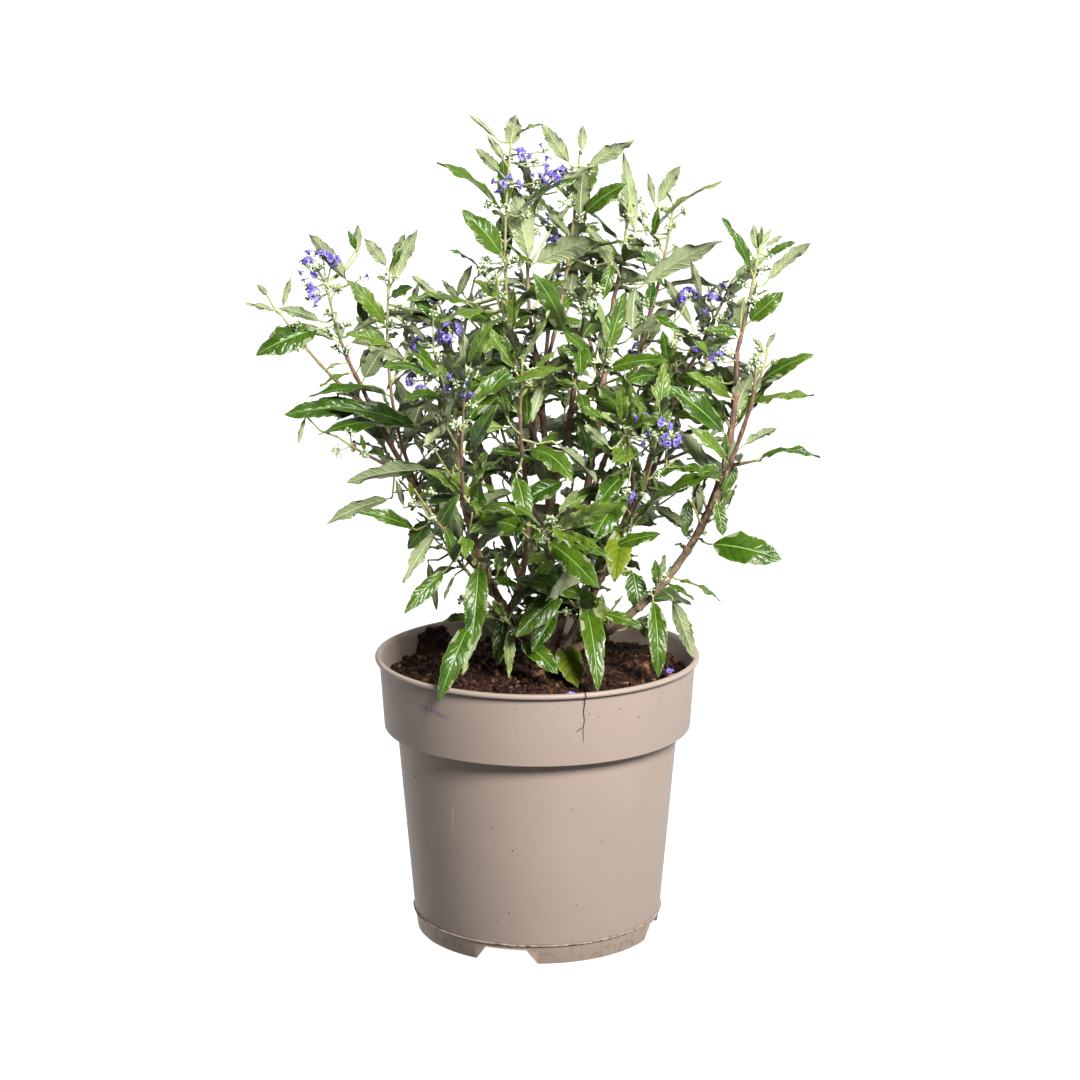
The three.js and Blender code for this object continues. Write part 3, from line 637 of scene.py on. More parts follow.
damp_peat = peat_finish("damp_peat", (0.004, 0.002, 0.001), (0.05, 0.021, 0.011))
dry_peat = peat_finish("dry_peat", (0.02, 0.009, 0.005), (0.13, 0.056, 0.029))
bark_chip = peat_finish("bark_chip", (0.09, 0.04, 0.02), (0.26, 0.13, 0.065))
soil.piece("peat_surface", [damp_peat], ["soil"])

BALL_GOLD = (1 + math.sqrt(5)) / 2
BALL = []
for first, second in ((1, BALL_GOLD), (-1, BALL_GOLD), (1, -BALL_GOLD), (-1, -BALL_GOLD)):
    BALL += [(0, first, second), (first, second, 0), (second, 0, first)]
BALL = np.array(BALL) / math.hypot(1, BALL_GOLD)


def ball_faces():
    """The twenty triangles between the twelve corners of the ball."""
    faces = []
    for a in range(len(BALL)):
        for b in range(a + 1, len(BALL)):
            for c in range(b + 1, len(BALL)):
                sides = [BALL[a] - BALL[b], BALL[b] - BALL[c], BALL[a] - BALL[c]]
                if all(np.linalg.norm(side) < 1.1 for side in sides):
                    outward = np.dot(np.cross(BALL[b] - BALL[a], BALL[c] - BALL[a]), BALL[a]) > 0
                    faces.append((a, b, c) if outward else (a, c, b))
    return faces


BALL_FACES = ball_faces()


def round_place(most):
    """An even random place within a radius of the pot's axis."""
    turn = random.uniform(0, 2 * math.pi)
    radius = most * math.sqrt(random.uniform(0, 1))
    return polar(turn, radius, 0)[:2]


crumbs = Joined()
for _ in range(CRUMBS):
    x, y = round_place(CRUMB_REACH)
    size = 0.0004 + 0.0021 * random.uniform(0, 1) ** 2.6
    shape = BALL * random.uniform(0.55, 1.25, (len(BALL), 1)) * size * random.uniform(0.6, 1.5, 3)
    lift = lumpy_height(x, y) + size * 0.25
    crumbs.add(shape + (x, y, lift), BALL_FACES, int(random.choice(3, p=[0.66, 0.27, 0.07])))
for _ in range(CLOD_CRUMBS):
    swing = random.uniform(0, 2 * math.pi)
    reach = CLOD_RADIUS * random.uniform(0, 0.95)
    x = CLOD_ACROSS + reach * math.cos(swing)
    y = CLOD_BACK + reach * math.sin(swing)
    size = random.uniform(0.0008, 0.0022)
    shape = BALL * random.uniform(0.55, 1.25, (len(BALL), 1)) * size
    crumbs.add(shape + (x, y, lumpy_height(x, y)), BALL_FACES, 0)


def tube(points, radii, sides):
    """A tube through points, with an even turn along its whole length, as corners and faces."""
    points = np.asarray(points, float)
    along = np.gradient(points, axis=0)
    along /= np.linalg.norm(along, axis=1)[:, None]
    across = np.cross(along, (0.31, 0.87, 0.38))
    across /= np.linalg.norm(across, axis=1)[:, None]
    over = np.cross(along, across)
    turns = np.arange(sides) / sides * 2 * math.pi
    ring = across[:, None] * np.cos(turns)[None, :, None] + over[:, None] * np.sin(turns)[None, :, None]
    corners = points[:, None] + ring * np.asarray(radii, float).reshape(len(points), -1, 1)
    faces = grid_faces(len(points), sides, closed=True)
    return corners.reshape(-1, 3), faces


for _ in range(FIBRES):
    x, y = round_place(FIBRE_START)
    course = random.uniform(0, 2 * math.pi)
    length = random.uniform(0.003, 0.011)
    bend = random.normal(0, 1.2)
    thick = random.uniform(0.0001, 0.00024)
    points = []
    for step in range(5):
        share = step / 4
        points.append((x, y, lumpy_height(x, y) + 0.0006 + 0.0012 * math.sin(3.1 * share)))
        x += length / 4 * math.cos(course)
        y += length / 4 * math.sin(course)
        course += bend / 4
        if math.hypot(x, y) > FIBRE_REACH:
            break
    if len(points) > 2:
        corners, faces = tube(points, [thick] * len(points), 3)
        crumbs.add(corners, faces, 1 + int(random.uniform(0, 1) < 0.2))
crumbs.piece("peat_crumbs", [damp_peat, dry_peat, bark_chip], smooth=False)

# Stool and boughs
# The plant's old wood: a short stool, cut flat at soil level, from which the main stems rise and fork.
# The bark is brown and flakes in long ridges, tan on their crests from weathering and a painted highlight,
# with a low swelling at every pair of old leaf scars.
STOOL_HEIGHT = 0.009
STOOL_RINGS = 26
STOOL_SIDES = 72
STOOL_PROFILE = [(0.95, -0.3), (0.72, 0.0), (0.52, 0.2), (0.42, 0.5), (0.36, 0.8), (0.22, 0.9), (0.02, 0.95)]
BOUGH_TAPER = 0.58
BOUGH_THINNEST = 0.0012
BOUGH_SIDES = 14
BARK_STEP = 0.0014
SCAR_GAP = 0.024
SCAR_LENGTH = 0.0016
SCAR_SWELL = 0.34
BOUGHS = {
    "centre": dict(
        foot=(0.006, 0.009, 0.163), bend=(0.007, 0.014, 0.247), tip=(-0.001, 0.018, 0.34), radius=0.0028
    ),
    "left": dict(
        foot=(0.004, 0.007, 0.163), bend=(-0.03, -0.03, 0.222), tip=(-0.046, -0.05, 0.305), radius=0.0028
    ),
    "right": dict(
        foot=(0.016, 0.009, 0.162), bend=(0.09, -0.014, 0.236), tip=(0.113, -0.015, 0.345), radius=0.0027
    ),
    "right_inner": dict(
        foot=(0.013, 0.005, 0.163), bend=(0.037, 0, 0.21), tip=(0.053, -0.02, 0.26), radius=0.0024
    ),
    "right_behind": dict(
        foot=(0.016, 0.016, 0.163), bend=(0.052, 0.024, 0.24), tip=(0.084, 0.028, 0.322), radius=0.0025
    ),
    "back": dict(
        foot=(0.011, 0.019, 0.163), bend=(0.032, 0.04, 0.272), tip=(0.045, 0.048, 0.368), radius=0.0026
    ),
    "back_left": dict(
        foot=(0.004, 0.017, 0.163), bend=(-0.025, 0.052, 0.244), tip=(-0.05, 0.076, 0.318), radius=0.0025
    ),
    "front": dict(
        parent="left", at=0.28, bend=(-0.006, -0.03, 0.235), tip=(-0.008, -0.052, 0.29), radius=0.0019
    ),
    "far_left": dict(
        parent="left", at=0.45, bend=(-0.066, -0.015, 0.262), tip=(-0.1, -0.014, 0.326), radius=0.0019
    ),
    "centre_right": dict(
        parent="centre", at=0.5, bend=(0.017, -0.006, 0.298), tip=(0.023, -0.026, 0.344), radius=0.0018
    ),
    "right_low": dict(
        parent="right", at=0.5, bend=(0.106, -0.03, 0.276), tip=(0.117, -0.042, 0.312), radius=0.0017
    ),
    "back_right": dict(
        parent="back", at=0.35, bend=(0.05, 0.062, 0.296), tip=(0.066, 0.072, 0.352), radius=0.0018
    ),
    "back_centre": dict(
        parent="back_left", at=0.4, bend=(-0.004, 0.072, 0.272), tip=(0.006, 0.092, 0.336), radius=0.0018
    ),
    "side_back": dict(
        parent="right_behind", at=0.4, bend=(0.068, 0.048, 0.264), tip=(0.09, 0.07, 0.306), radius=0.0017
    ),
}


class Curve:
    """A bend from a foot to a tip, drawn by one handle."""

    def __init__(self, foot, handle, tip):
        self.foot, self.handle, self.tip = (np.asarray(point, float) for point in (foot, handle, tip))
        straight = np.linalg.norm(self.tip - self.foot)
        around = np.linalg.norm(self.handle - self.foot) + np.linalg.norm(self.tip - self.handle)
        self.length = (2 * straight + around) / 3

    def point(self, share):
        back = 1 - share
        return back * back * self.foot + 2 * back * share * self.handle + share * share * self.tip

    def course(self, share):
        slope = (1 - share) * (self.handle - self.foot) + share * (self.tip - self.handle)
        return slope / np.linalg.norm(slope)

    def points(self, shares):
        return np.array([self.point(share) for share in shares])


def unit(direction):
    return direction / np.linalg.norm(direction)


def cross_axes(direction):
    """Two directions square to a stem, the same way round all along it."""
    across = unit(np.cross((0, 1, 0), direction))
    return across, np.cross(direction, across)


def limb(curve, thick, thin, sides, steps, relief=0.0, nodes=(), seed=0):
    """A tapering limb: its bark stands out in long ridges, and it swells at its nodes."""
    corners = []
    for share in np.linspace(0, 1, steps + 1):
        middle = curve.point(share)
        across, over = cross_axes(curve.course(share))
        reach = thick + (thin - thick) * share
        swell = sum(math.exp(-(((share - node) * curve.length / SCAR_LENGTH) ** 2)) for node in nodes)
        for side in range(sides):
            turn = side / sides * 2 * math.pi
            twist = turn + share * curve.length * 14
            spin = (math.cos(twist) * 2.6 + seed, math.sin(twist) * 2.6)
            ridge = mathutils.noise.noise(mathutils.Vector((*spin, share * curve.length * 90)))
            out = reach * (1 + relief * ridge + SCAR_SWELL * swell)
            corners.append(middle + across * math.cos(turn) * out + over * math.sin(turn) * out)
    faces = grid_faces(steps + 1, sides, closed=True)
    tip = len(corners)
    corners.append(curve.point(1) + curve.course(1) * thin * 0.4)
    faces += [(tip - sides + side, tip - sides + (side + 1) % sides, tip) for side in range(sides)]
    return corners, faces


def bark_finish(name, dark, light, tan):
    """Thin brown bark whose ridges are tan on their crests: weathered bark, and a painted highlight."""
    finish, place, shader = new_finish(name)
    stretched = place.node("ShaderNodeVectorMath", {"operation": "MULTIPLY"}, {0: place, 1: (1, 1, 0.16)})
    ridge = stretched.noise(0.0009, 5, 0.6)
    patch = place.noise(0.012, 3)
    brown = patch.step(0.35, 0.65).tint(dark, light)
    # Tan on the ridges' crests, where the bump stands highest: weathering, and a painted highlight.
    colour = (ridge.step(0.5, 0.68) * 0.8).tint(brown, tan)
    set_shader(shader, Base_Color=colour, Roughness=0.62 + ridge * 0.25)
    set_shader(shader, Normal=ridge.relief(0.0006, 0.9), Specular_IOR_Level=0.35)
    return finish


boughs = {}
for name, plan in BOUGHS.items():
    parent = boughs.get(plan.get("parent"))
    foot = np.array(plan["foot"] if parent is None else parent["curve"].point(plan["at"]))
    bend, tip = np.array(plan["bend"]), np.array(plan["tip"])
    curve = Curve(foot, 2 * bend - 0.5 * foot - 0.5 * tip, tip)
    boughs[name] = {**plan, "curve": curve, "main": parent is None}

wood = Joined()
twigs = Joined()
for number, (name, bough) in enumerate(boughs.items()):
    curve = bough["curve"]
    thin = max(BOUGH_THINNEST, BOUGH_TAPER * bough["radius"])
    nodes = [(0.3 + step) * SCAR_GAP / curve.length for step in range(int(curve.length / SCAR_GAP))]
    steps = int(curve.length / BARK_STEP)
    corners, faces = limb(curve, bough["radius"], thin, BOUGH_SIDES, steps, 0.3, nodes, seed=7.3 * number)
    # The bark is old for two thirds of a main stem, and still purplish brown above that.
    ripe = 0.66 if bough["main"] else 0.35
    looks = []
    for index in range(len(faces)):
        looks.append(0 if (index // BOUGH_SIDES) / steps < ripe + 0.06 * math.sin(index) else 1)
    wood.add(corners, faces, looks)

stool = []
for ring in range(STOOL_RINGS):
    share = ring / (STOOL_RINGS - 1)
    place = share * (len(STOOL_PROFILE) - 1)
    low = min(int(place), len(STOOL_PROFILE) - 2)
    blend = place - low
    under, above = STOOL_PROFILE[low], STOOL_PROFILE[low + 1]
    radius = STOOL_FLARE * (under[0] * (1 - blend) + above[0] * blend)
    height = STOOL_HEIGHT * (under[1] * (1 - blend) + above[1] * blend)
    for side in range(STOOL_SIDES):
        turn = side / STOOL_SIDES * 2 * math.pi
        spread = mathutils.Vector((math.cos(turn) * 2.2, math.sin(turn) * 2.2, height * 170))
        lobe = 1 + 0.16 * max(0.0, 1 - share) * math.cos(5 * turn) + 0.13 * mathutils.noise.noise(spread)
        out = radius * lobe
        stool.append((STOOL[0] + out * math.cos(turn), STOOL[1] + out * math.sin(turn), STOOL[2] + height))
wood.add(stool, grid_faces(STOOL_RINGS, STOOL_SIDES, closed=True), 0)
old_bark = bark_finish("old_bark", (0.11, 0.066, 0.038), (0.24, 0.155, 0.095), (0.5, 0.36, 0.225))
ripe_bark = bark_finish("ripe_bark", (0.12, 0.062, 0.045), (0.22, 0.12, 0.086), (0.42, 0.28, 0.19))
wood.piece("woody_stems", [old_bark, ripe_bark], ["trunk"] + ["bough_" + name for name in boughs])

# Sprays
# This year's shoots: each has its foot on a bough, bends out and up to its own tip, and carries opposite
# pairs of leaves, each pair a quarter turn on from the last, with side twigs from the lower axils.
STEM_RADIUS = 0.00125
STEM_TIP = 0.0006
TWIG_RADIUS = 0.0008
TWIG_LENGTH = 0.044
TWIG_STEP = 0.003
TIP_LEAVES = 0.015
LEAF_LENGTH = 0.064
PAIR_GAPS = dict(share=0.17, least=0.0125, most=0.0225, shrink=0.93, last=0.0075)
TWIG_TOP = 0.74
TWIG_LEAF = 0.72
AXIL_TWIG = 0.3
AXIL_LEAF = 0.42
SHORT_TWIG = 0.02
BLOOM_PAIRS = 1.6
BUDS_FROM = 0.6
SHOOT_SIDES = 8
SHOOT_STEP = 0.0022
SPRAYS = {
    "crown_left": dict(on="centre", at=0.66, tip=(-0.016, 0, 0.476), leaf=0.92, bloom=3),
    "crown_centre": dict(on="centre", at=1, tip=(-0.003, 0.024, 0.446), leaf=0.85, bloom=2),
    "crown_right": dict(on="centre", at=0.9, tip=(0.027, 0.045, 0.467), leaf=0.9),
    "upper_left": dict(on="centre", at=0.8, tip=(-0.027, -0.028, 0.405), leaf=0.95),
    "heart": dict(on="centre", at=0.42, tip=(-0.034, 0.03, 0.345), leaf=1),
    "bud_head": dict(on="centre_right", at=1, tip=(0.028, -0.042, 0.392), leaf=0.9),
    "heart_right": dict(on="centre_right", at=0.6, tip=(0.046, -0.052, 0.362), leaf=0.9),
    "front": dict(on="front", at=1, tip=(-0.008, -0.076, 0.362), leaf=0.95),
    "front_low": dict(on="front", at=0.55, tip=(0.016, -0.098, 0.262), leaf=1),
    "left": dict(on="left", at=1, tip=(-0.06, -0.062, 0.368), leaf=0.95, bloom=3),
    "left_front": dict(on="left", at=0.72, tip=(-0.038, -0.092, 0.352), leaf=0.95, bloom=2),
    "left_low": dict(on="left", at=0.52, tip=(-0.074, -0.084, 0.288), leaf=0.95),
    "left_rim": dict(on="left", at=0.3, tip=(-0.046, -0.058, 0.214), leaf=1),
    "left_side": dict(on="left", at=0.36, tip=(-0.064, 0.014, 0.24), leaf=0.9),
    "foot_left": dict(on="left", at=0.17, tip=(-0.022, -0.048, 0.2), leaf=0.95),
    "far_left": dict(on="far_left", at=1, tip=(-0.122, -0.016, 0.396), leaf=0.8, bloom=3),
    "far_left_tip": dict(on="far_left", at=0.9, tip=(-0.15, -0.03, 0.376), leaf=0.72, bloom=1),
    "far_left_low": dict(on="far_left", at=0.62, tip=(-0.122, -0.048, 0.308), leaf=0.95),
    "left_tall": dict(on="far_left", at=0.48, tip=(-0.086, 0.016, 0.402), leaf=0.82),
    "left_back": dict(on="far_left", at=0.3, tip=(-0.096, 0.042, 0.306), leaf=0.95),
    "right": dict(on="right", at=1, tip=(0.127, -0.01, 0.413), leaf=0.82),
    "right_side": dict(on="right", at=0.82, tip=(0.138, 0.012, 0.356), leaf=0.85, bloom=1),
    "right_low": dict(on="right_low", at=1, tip=(0.122, -0.054, 0.36), leaf=0.82),
    "right_outer": dict(on="right_low", at=0.6, tip=(0.136, -0.05, 0.292), leaf=0.85),
    "right_rim": dict(on="right", at=0.28, tip=(0.07, -0.044, 0.226), leaf=0.92),
    "foot_front": dict(on="right_inner", at=0.3, tip=(0.018, -0.046, 0.206), leaf=0.95),
    "right_foot": dict(on="right", at=0.42, tip=(0.1, 0.018, 0.25), leaf=0.9),
    "right_front": dict(on="right_inner", at=1, tip=(0.046, -0.074, 0.322), leaf=0.9),
    "right_heart": dict(on="right_inner", at=0.75, tip=(0.072, -0.05, 0.326), leaf=0.9, bloom=3),
    "behind_right": dict(on="right_behind", at=1, tip=(0.119, 0.034, 0.392), leaf=0.9, bloom=2),
    "behind_inner": dict(on="right_behind", at=0.75, tip=(0.08, 0.002, 0.372), leaf=0.92),
    "tall_back": dict(on="back", at=1, tip=(0.056, 0.056, 0.438), leaf=0.95),
    "back_heart": dict(on="back", at=0.7, tip=(0.012, 0.074, 0.412), leaf=0.95, bloom=1),
    "back_right": dict(on="back_right", at=1, tip=(0.084, 0.084, 0.432), leaf=0.9),
    "back_right_low": dict(on="back_right", at=0.6, tip=(0.064, 0.106, 0.338), leaf=0.95, bloom=1),
    "side_back": dict(on="side_back", at=1, tip=(0.114, 0.086, 0.352), leaf=0.9, bloom=1),
    "side_back_low": dict(on="side_back", at=0.55, tip=(0.112, 0.062, 0.284), leaf=0.92),
    "back_left": dict(on="back_left", at=1, tip=(-0.066, 0.09, 0.376), leaf=0.92, bloom=2),
    "back_left_low": dict(on="back_left", at=0.6, tip=(-0.098, 0.082, 0.3), leaf=0.95),
    "back_left_inner": dict(on="back_left", at=0.84, tip=(-0.036, 0.058, 0.392), leaf=0.92),
    "back_centre": dict(on="back_centre", at=1, tip=(0.01, 0.104, 0.388), leaf=0.92, bloom=1),
    "back_low": dict(on="back_centre", at=0.5, tip=(-0.026, 0.108, 0.304), leaf=0.95),
    "back_rim": dict(on="back_left", at=0.3, tip=(0.026, 0.078, 0.226), leaf=0.95),
}


def seeded_draw(seed):
    """Random numbers that are the same in every run."""
    state = 7919 * seed + 104729

    def draw(low, high):
        nonlocal state
        state = state * 48271 % 2147483647
        return low + (high - low) * state / 2147483647

    return draw


def leaf_share(share):
    """How long a leaf is along a stem, against the longest: fullest low down and small at the tip."""
    return 0.84 + 0.5 * share - 0.84 * share * share


def leaf_line(root, start, side, length, sag):
    """A leaf's middle line: it leaves its stem along one direction and sags towards another."""
    finish = unit(start - np.array([0, 0, sag]))
    half = root + start * length / 2
    return {"line": Curve(root, half, half + finish * length / 2), "side": side, "length": length}


def turned_about(direction, axis, angle):
    turn = mathutils.Matrix.Rotation(angle, 3, mathutils.Vector(axis))
    return np.array(turn @ mathutils.Vector(direction))


def leaf_pair(stem, share, turn, size, draw, age):
    """A pair of opposite leaves at a share of a stem's length."""
    root = stem.point(share)
    up = stem.course(share)
    across, over = cross_axes(up)
    leaves = []
    for opposite in (0, math.pi):
        angle = turn + opposite + draw(-0.22, 0.22)
        outward = across * math.cos(angle) + over * math.sin(angle)
        rise = math.radians(26 + 36 * share + draw(-9, 9))
        start = outward * math.cos(rise) + up * math.sin(rise)
        side = turned_about(unit(np.cross(up, outward)), start, draw(-0.35, 0.35))
        length = size * leaf_share(share) * draw(0.86, 1.14)
        sag = max(0.05, 1.3 - 1.1 * share + draw(-0.35, 0.35))
        leaf = leaf_line(root, start, side, length, sag)
        leaves.append({**leaf, "share": share, "age": age, "luck": draw(0, 1)})
    return leaves


def pair_places(length):
    """The lower pairs stand far apart and the upper ones close together."""
    places = []
    gap = min(max(PAIR_GAPS["share"] * length, PAIR_GAPS["least"]), PAIR_GAPS["most"])
    along = 0.6 * gap
    while along < length - PAIR_GAPS["last"] / 2:
        places.append(along / length)
        along += gap
        gap = max(PAIR_GAPS["last"], gap * PAIR_GAPS["shrink"])
    return places


def side_twig(stem, share, turn, length, size, draw):
    """A short twig from a leaf's axil, with leaf pairs of its own."""
    root = stem.point(share)
    up = stem.course(share)
    across, over = cross_axes(up)
    start = unit(across * math.cos(turn) + over * math.sin(turn) + up)
    half = root + start * length / 2
    rise = unit(start + np.array([0, 0, 0.5]))
    line = Curve(root, half, half + rise * length / 2)
    leaves = []
    pairs = 2 if length < SHORT_TWIG else 3
    for pair in range(pairs):
        place = (pair + 1) / pairs * 0.97
        pair_turn = turn + (pair + 1) * math.pi / 2
        leaves += leaf_pair(line, place, pair_turn, size * (0.95 - 0.1 * pair), draw, 0.6)
    return {"line": line, "leaves": leaves}


def grow_spray(name, plan, number):
    """A shoot with its pairs of leaves, its side twigs and the axils where its heads stand."""
    bough = boughs[plan["on"]]
    draw = seeded_draw(number + 1)
    foot = bough["curve"].point(plan["at"])
    reach = np.array(plan["tip"])
    course = unit(reach - foot)
    tip = reach - course * TIP_LEAVES * plan["leaf"]
    outward = unit(np.array([tip[0] - STOOL[0], tip[1] - STOOL[1], 0]))
    leave = course + 0.4 * outward
    if plan["at"] == 1:
        leave = leave + 1.2 * bough["curve"].course(1)
    handle = foot + unit(leave) * 0.42 * np.linalg.norm(foot - tip)
    stem = Curve(foot, handle, tip)
    size = LEAF_LENGTH * plan["leaf"]
    first_turn = draw(0, math.pi)
    places = pair_places(stem.length)
    spray = dict(plan, name=name, stem=stem, places=places, leaves=[], twigs=[], heads=[])
    for pair, share in enumerate(places):
        turn = first_turn + pair * math.pi / 2
        spray["leaves"] += leaf_pair(stem, share, turn, size, draw, 0)
        twig_length = min(TWIG_LENGTH, stem.length * draw(0.2, 0.36))
        twig_turn = turn + math.pi * round(draw(0, 1))
        twig_draw = seeded_draw(100 * (number + 1) + pair)
        if share < TWIG_TOP and pair % 2 == 1:
            twig = side_twig(stem, share, twig_turn, twig_length, TWIG_LEAF * size, twig_draw)
            spray["twigs"].append(twig)
        elif share < TWIG_TOP:
            tuft_length = AXIL_TWIG * twig_length
            tuft = side_twig(stem, share, twig_turn, tuft_length, AXIL_LEAF * size, twig_draw)
            spray["twigs"].append(tuft)
        in_bloom = len(places) - pair <= BLOOM_PAIRS * plan.get("bloom", 0)
        if in_bloom or share > BUDS_FROM:
            spray["heads"] += [(share, turn, in_bloom), (share, turn + math.pi, in_bloom)]
    top_turn = first_turn + len(places) * math.pi / 2
    spray["leaves"] += leaf_pair(stem, 0.985, top_turn, size * 1.05, draw, 0.9)
    spray["leaves"] += leaf_pair(stem, 1, top_turn + math.pi / 2, size * 0.62, draw, 1)
    return spray


sprays = [grow_spray(name, plan, number) for number, (name, plan) in enumerate(SPRAYS.items())]


def stem_finish(name, colour):
    """Smooth young skin with a faint down."""
    finish, place, shader = new_finish(name)
    cloud = place.noise(0.003, 4)
    dark = tuple(channel * 0.75 for channel in colour)
    light = tuple(channel * 1.2 for channel in colour)
    set_shader(shader, Base_Color=cloud.step(0.3, 0.7).tint(dark, light), Roughness=0.55)
    set_shader(shader, Normal=cloud.relief(0.0004, 0.4), Sheen_Weight=0.12)
    return finish


# Shoots ripen from the foot up, from purplish brown through reddish green to pale yellow green.
STEM_COLOURS = [
    (0.125, 0.058, 0.045),
    (0.165, 0.088, 0.055),
    (0.225, 0.155, 0.07),
    (0.265, 0.235, 0.085),
    (0.29, 0.315, 0.11),
    (0.29, 0.35, 0.14),
]
for number, spray in enumerate(sprays):
    stem = spray["stem"]
    steps = max(6, int(stem.length / SHOOT_STEP))
    places = spray["places"]
    corners, faces = limb(stem, STEM_RADIUS, STEM_TIP, SHOOT_SIDES, steps, 0.1, places, seed=3.1 * number)
    looks = []
    for index in range(len(faces)):
        share = min(1.0, (index // SHOOT_SIDES) / steps)
        age = share * 3.9 + 0.8 * (stem.point(share)[2] - 0.31) / 0.1
        looks.append(int(min(max(age, 0), len(STEM_COLOURS) - 1)))
    twigs.add(corners, faces, looks)


def add_twig(line, steps, look):
    """A side twig, thinning to its tip."""
    corners, faces = limb(line, TWIG_RADIUS, STEM_TIP * 0.8, 6, steps, 0.05)
    twigs.add(corners, faces, look)


# Leaves
# Narrow leaves on short pale stalks: folded along the midrib, bluntly toothed in their outer half and
# quilted between sunken veins, glossy green above and matt sage grey below.
LEAF_WIDTH = 0.29
LEAF_STALK = 0.13
LEAF_THICKNESS = 0.00028
SMALL_LEAF = 0.021
CROWN_SIDE = 0.164
CROWN_DEPTH = 0.118
NEIGHBOUR_SHARE = 0.4
LEAF_CLEAR = 0.0024
SHOWN_CLEAR = 0.0062
LIMB_CLEAR = 0.0035
RIM_CLEAR = 0.003
RIM_INSET = 0.009
SOIL_CLEAR = 0.004
HIDE_REACH = 10
HIDE_DEPTH = 0.003
SKY_MARGIN = 3
YELLOW_BELOW = 0.27
LIMB_SEGMENTS = 8


def leaf_tone(leaf):
    """The tone of a leaf, by its age and its luck."""
    if "tone" in leaf:
        return leaf["tone"]
    age = max(leaf["share"] * (0.75 if leaf["age"] < 0.5 else 1), leaf["age"])
    if age > 0.8:
        return "young" if leaf["luck"] < 0.35 else "fresh"
    if age > 0.5:
        return "fresh" if leaf["luck"] < 0.45 else "green"
    if leaf["line"].foot[2] <= YELLOW_BELOW and leaf["luck"] > 0.965:
        return "yellowing"
    return "deep" if leaf["luck"] < 0.45 else "green"


def blade_stations(teeth, full, notch, crest, first):
    """Shares of the blade's length with the half width there, as a share of the widest, teeth included."""

    def body(share):
        return math.sin(math.pi * share**0.77) ** full

    stations = [(0.0, 0.03), (0.06, body(0.06) * 0.8), (0.15, body(0.15) * 0.96)]
    stations.append((first - 0.12, body(first - 0.12)))
    last = 0.87
    step = (last - first) / teeth
    for tooth in range(teeth):
        low = first + tooth * step
        stations.append((low, body(low) * notch))
        stations.append((low + 0.35 * step, body(low + 0.35 * step) * (0.35 * crest + 0.65)))
        stations.append((low + 0.75 * step, body(low + 0.75 * step) * crest))
    stations += [(last + 0.02, body(last) * notch * 0.9), (0.95, body(0.95) * 0.86), (1.0, 0.02)]
    return np.array(stations)


COLUMNS = np.array([-1, -0.55, -0.05, 0.05, 0.55, 1.0])
MIDRIB_COLUMN = 2
BLADES = {}
for teeth in (2, 3, 4):
    faces = grid_faces(7 + 3 * teeth, len(COLUMNS))
    BLADES["blunt", teeth] = blade_stations(teeth, 0.7, 0.95, 1.06, 0.46), faces
    BLADES["sharp", teeth] = blade_stations(teeth, 0.88, 0.9, 1.13, 0.4), faces


def blade_of(leaf):
    """The stations and faces of a blade: broad and blunt when old, narrow and sharp when young."""
    edge = "sharp" if leaf_tone(leaf) in ("fresh", "young") else "blunt"
    if leaf["length"] < SMALL_LEAF:
        return BLADES[edge, 2]
    return BLADES[edge, 4 if leaf["luck"] > 0.6 else 3]


def leaf_shape(leaf):
    """The corners of a leaf's upper and lower sides, the places on it, and its stalk."""
    stations, _ = blade_of(leaf)
    line, side, luck = leaf["line"], leaf["side"], leaf["luck"]
    stalk_share = leaf.get("stalk", LEAF_STALK)
    shares = stalk_share + (1 - stalk_share) * stations[:, 0]
    middle = line.points(shares)
    along = np.array([line.course(share) for share in shares])
    twist = (luck - 0.5) * 0.9 * stations[:, 0]
    across = side - along * (along @ side)[:, None]
    across /= np.linalg.norm(across, axis=1)[:, None]
    over = np.cross(along, across)
    turned_across = across * np.cos(twist)[:, None] + over * np.sin(twist)[:, None]
    over = np.cross(along, turned_across)
    width = leaf["length"] * leaf.get("wide", LEAF_WIDTH * (0.86 + 0.3 * luck))
    half = stations[:, 1] * width / 2
    fold = math.radians(16 + 40 * (luck * 7 % 1)) * (1 - 0.4 * stations[:, 0])
    swing = 0.001 * np.sin(stations[:, :1] * 12 + luck * 9)
    ripple = 0.0007 * np.sin(stations[:, :1] * 21 + luck * 30)
    columns = np.abs(COLUMNS)
    # The two sides of a blade are never quite alike.
    uneven = 1 + 0.04 * np.sin(stations[:, :1] * 17 + luck * 40 + 2.1 * np.sign(COLUMNS))
    half = half[:, None] * uneven
    fold = fold[:, None]
    flat = half * np.cos(fold) * COLUMNS
    rise = half * (np.sin(fold) * columns - 0.4 * columns**2.6)
    rise = rise + (swing * np.sign(COLUMNS) + ripple) * columns**2 * min(1.0, leaf["length"] / 0.03)
    upper = middle[:, None] + turned_across[:, None] * flat[..., None] + over[:, None] * rise[..., None]
    thick = LEAF_THICKNESS * (1 - columns**4) + 0.00035 * (columns < 0.1)
    lower = upper - over[:, None] * thick[None, :, None] * (half > 0.0004)[..., None]
    places = np.stack(np.broadcast_arrays((COLUMNS + 1) / 2, stations[:, :1]), axis=-1).reshape(-1, 2)
    stalk = line.points(np.linspace(0, stalk_share + 0.03, 4))
    return upper.reshape(-1, 3), lower.reshape(-1, 3), places, stalk


def segments_of(curve):
    return curve.points(np.linspace(0, 1, LIMB_SEGMENTS + 1))


def distance_to(points, place):
    """How far a place lies from a line of points."""
    low, step = points[:-1], np.diff(points, axis=0)
    share = np.clip(((place - low) * step).sum(1) / (step * step).sum(1), 0, 1)
    return np.linalg.norm(low + step * share[:, None] - place, axis=1).min()


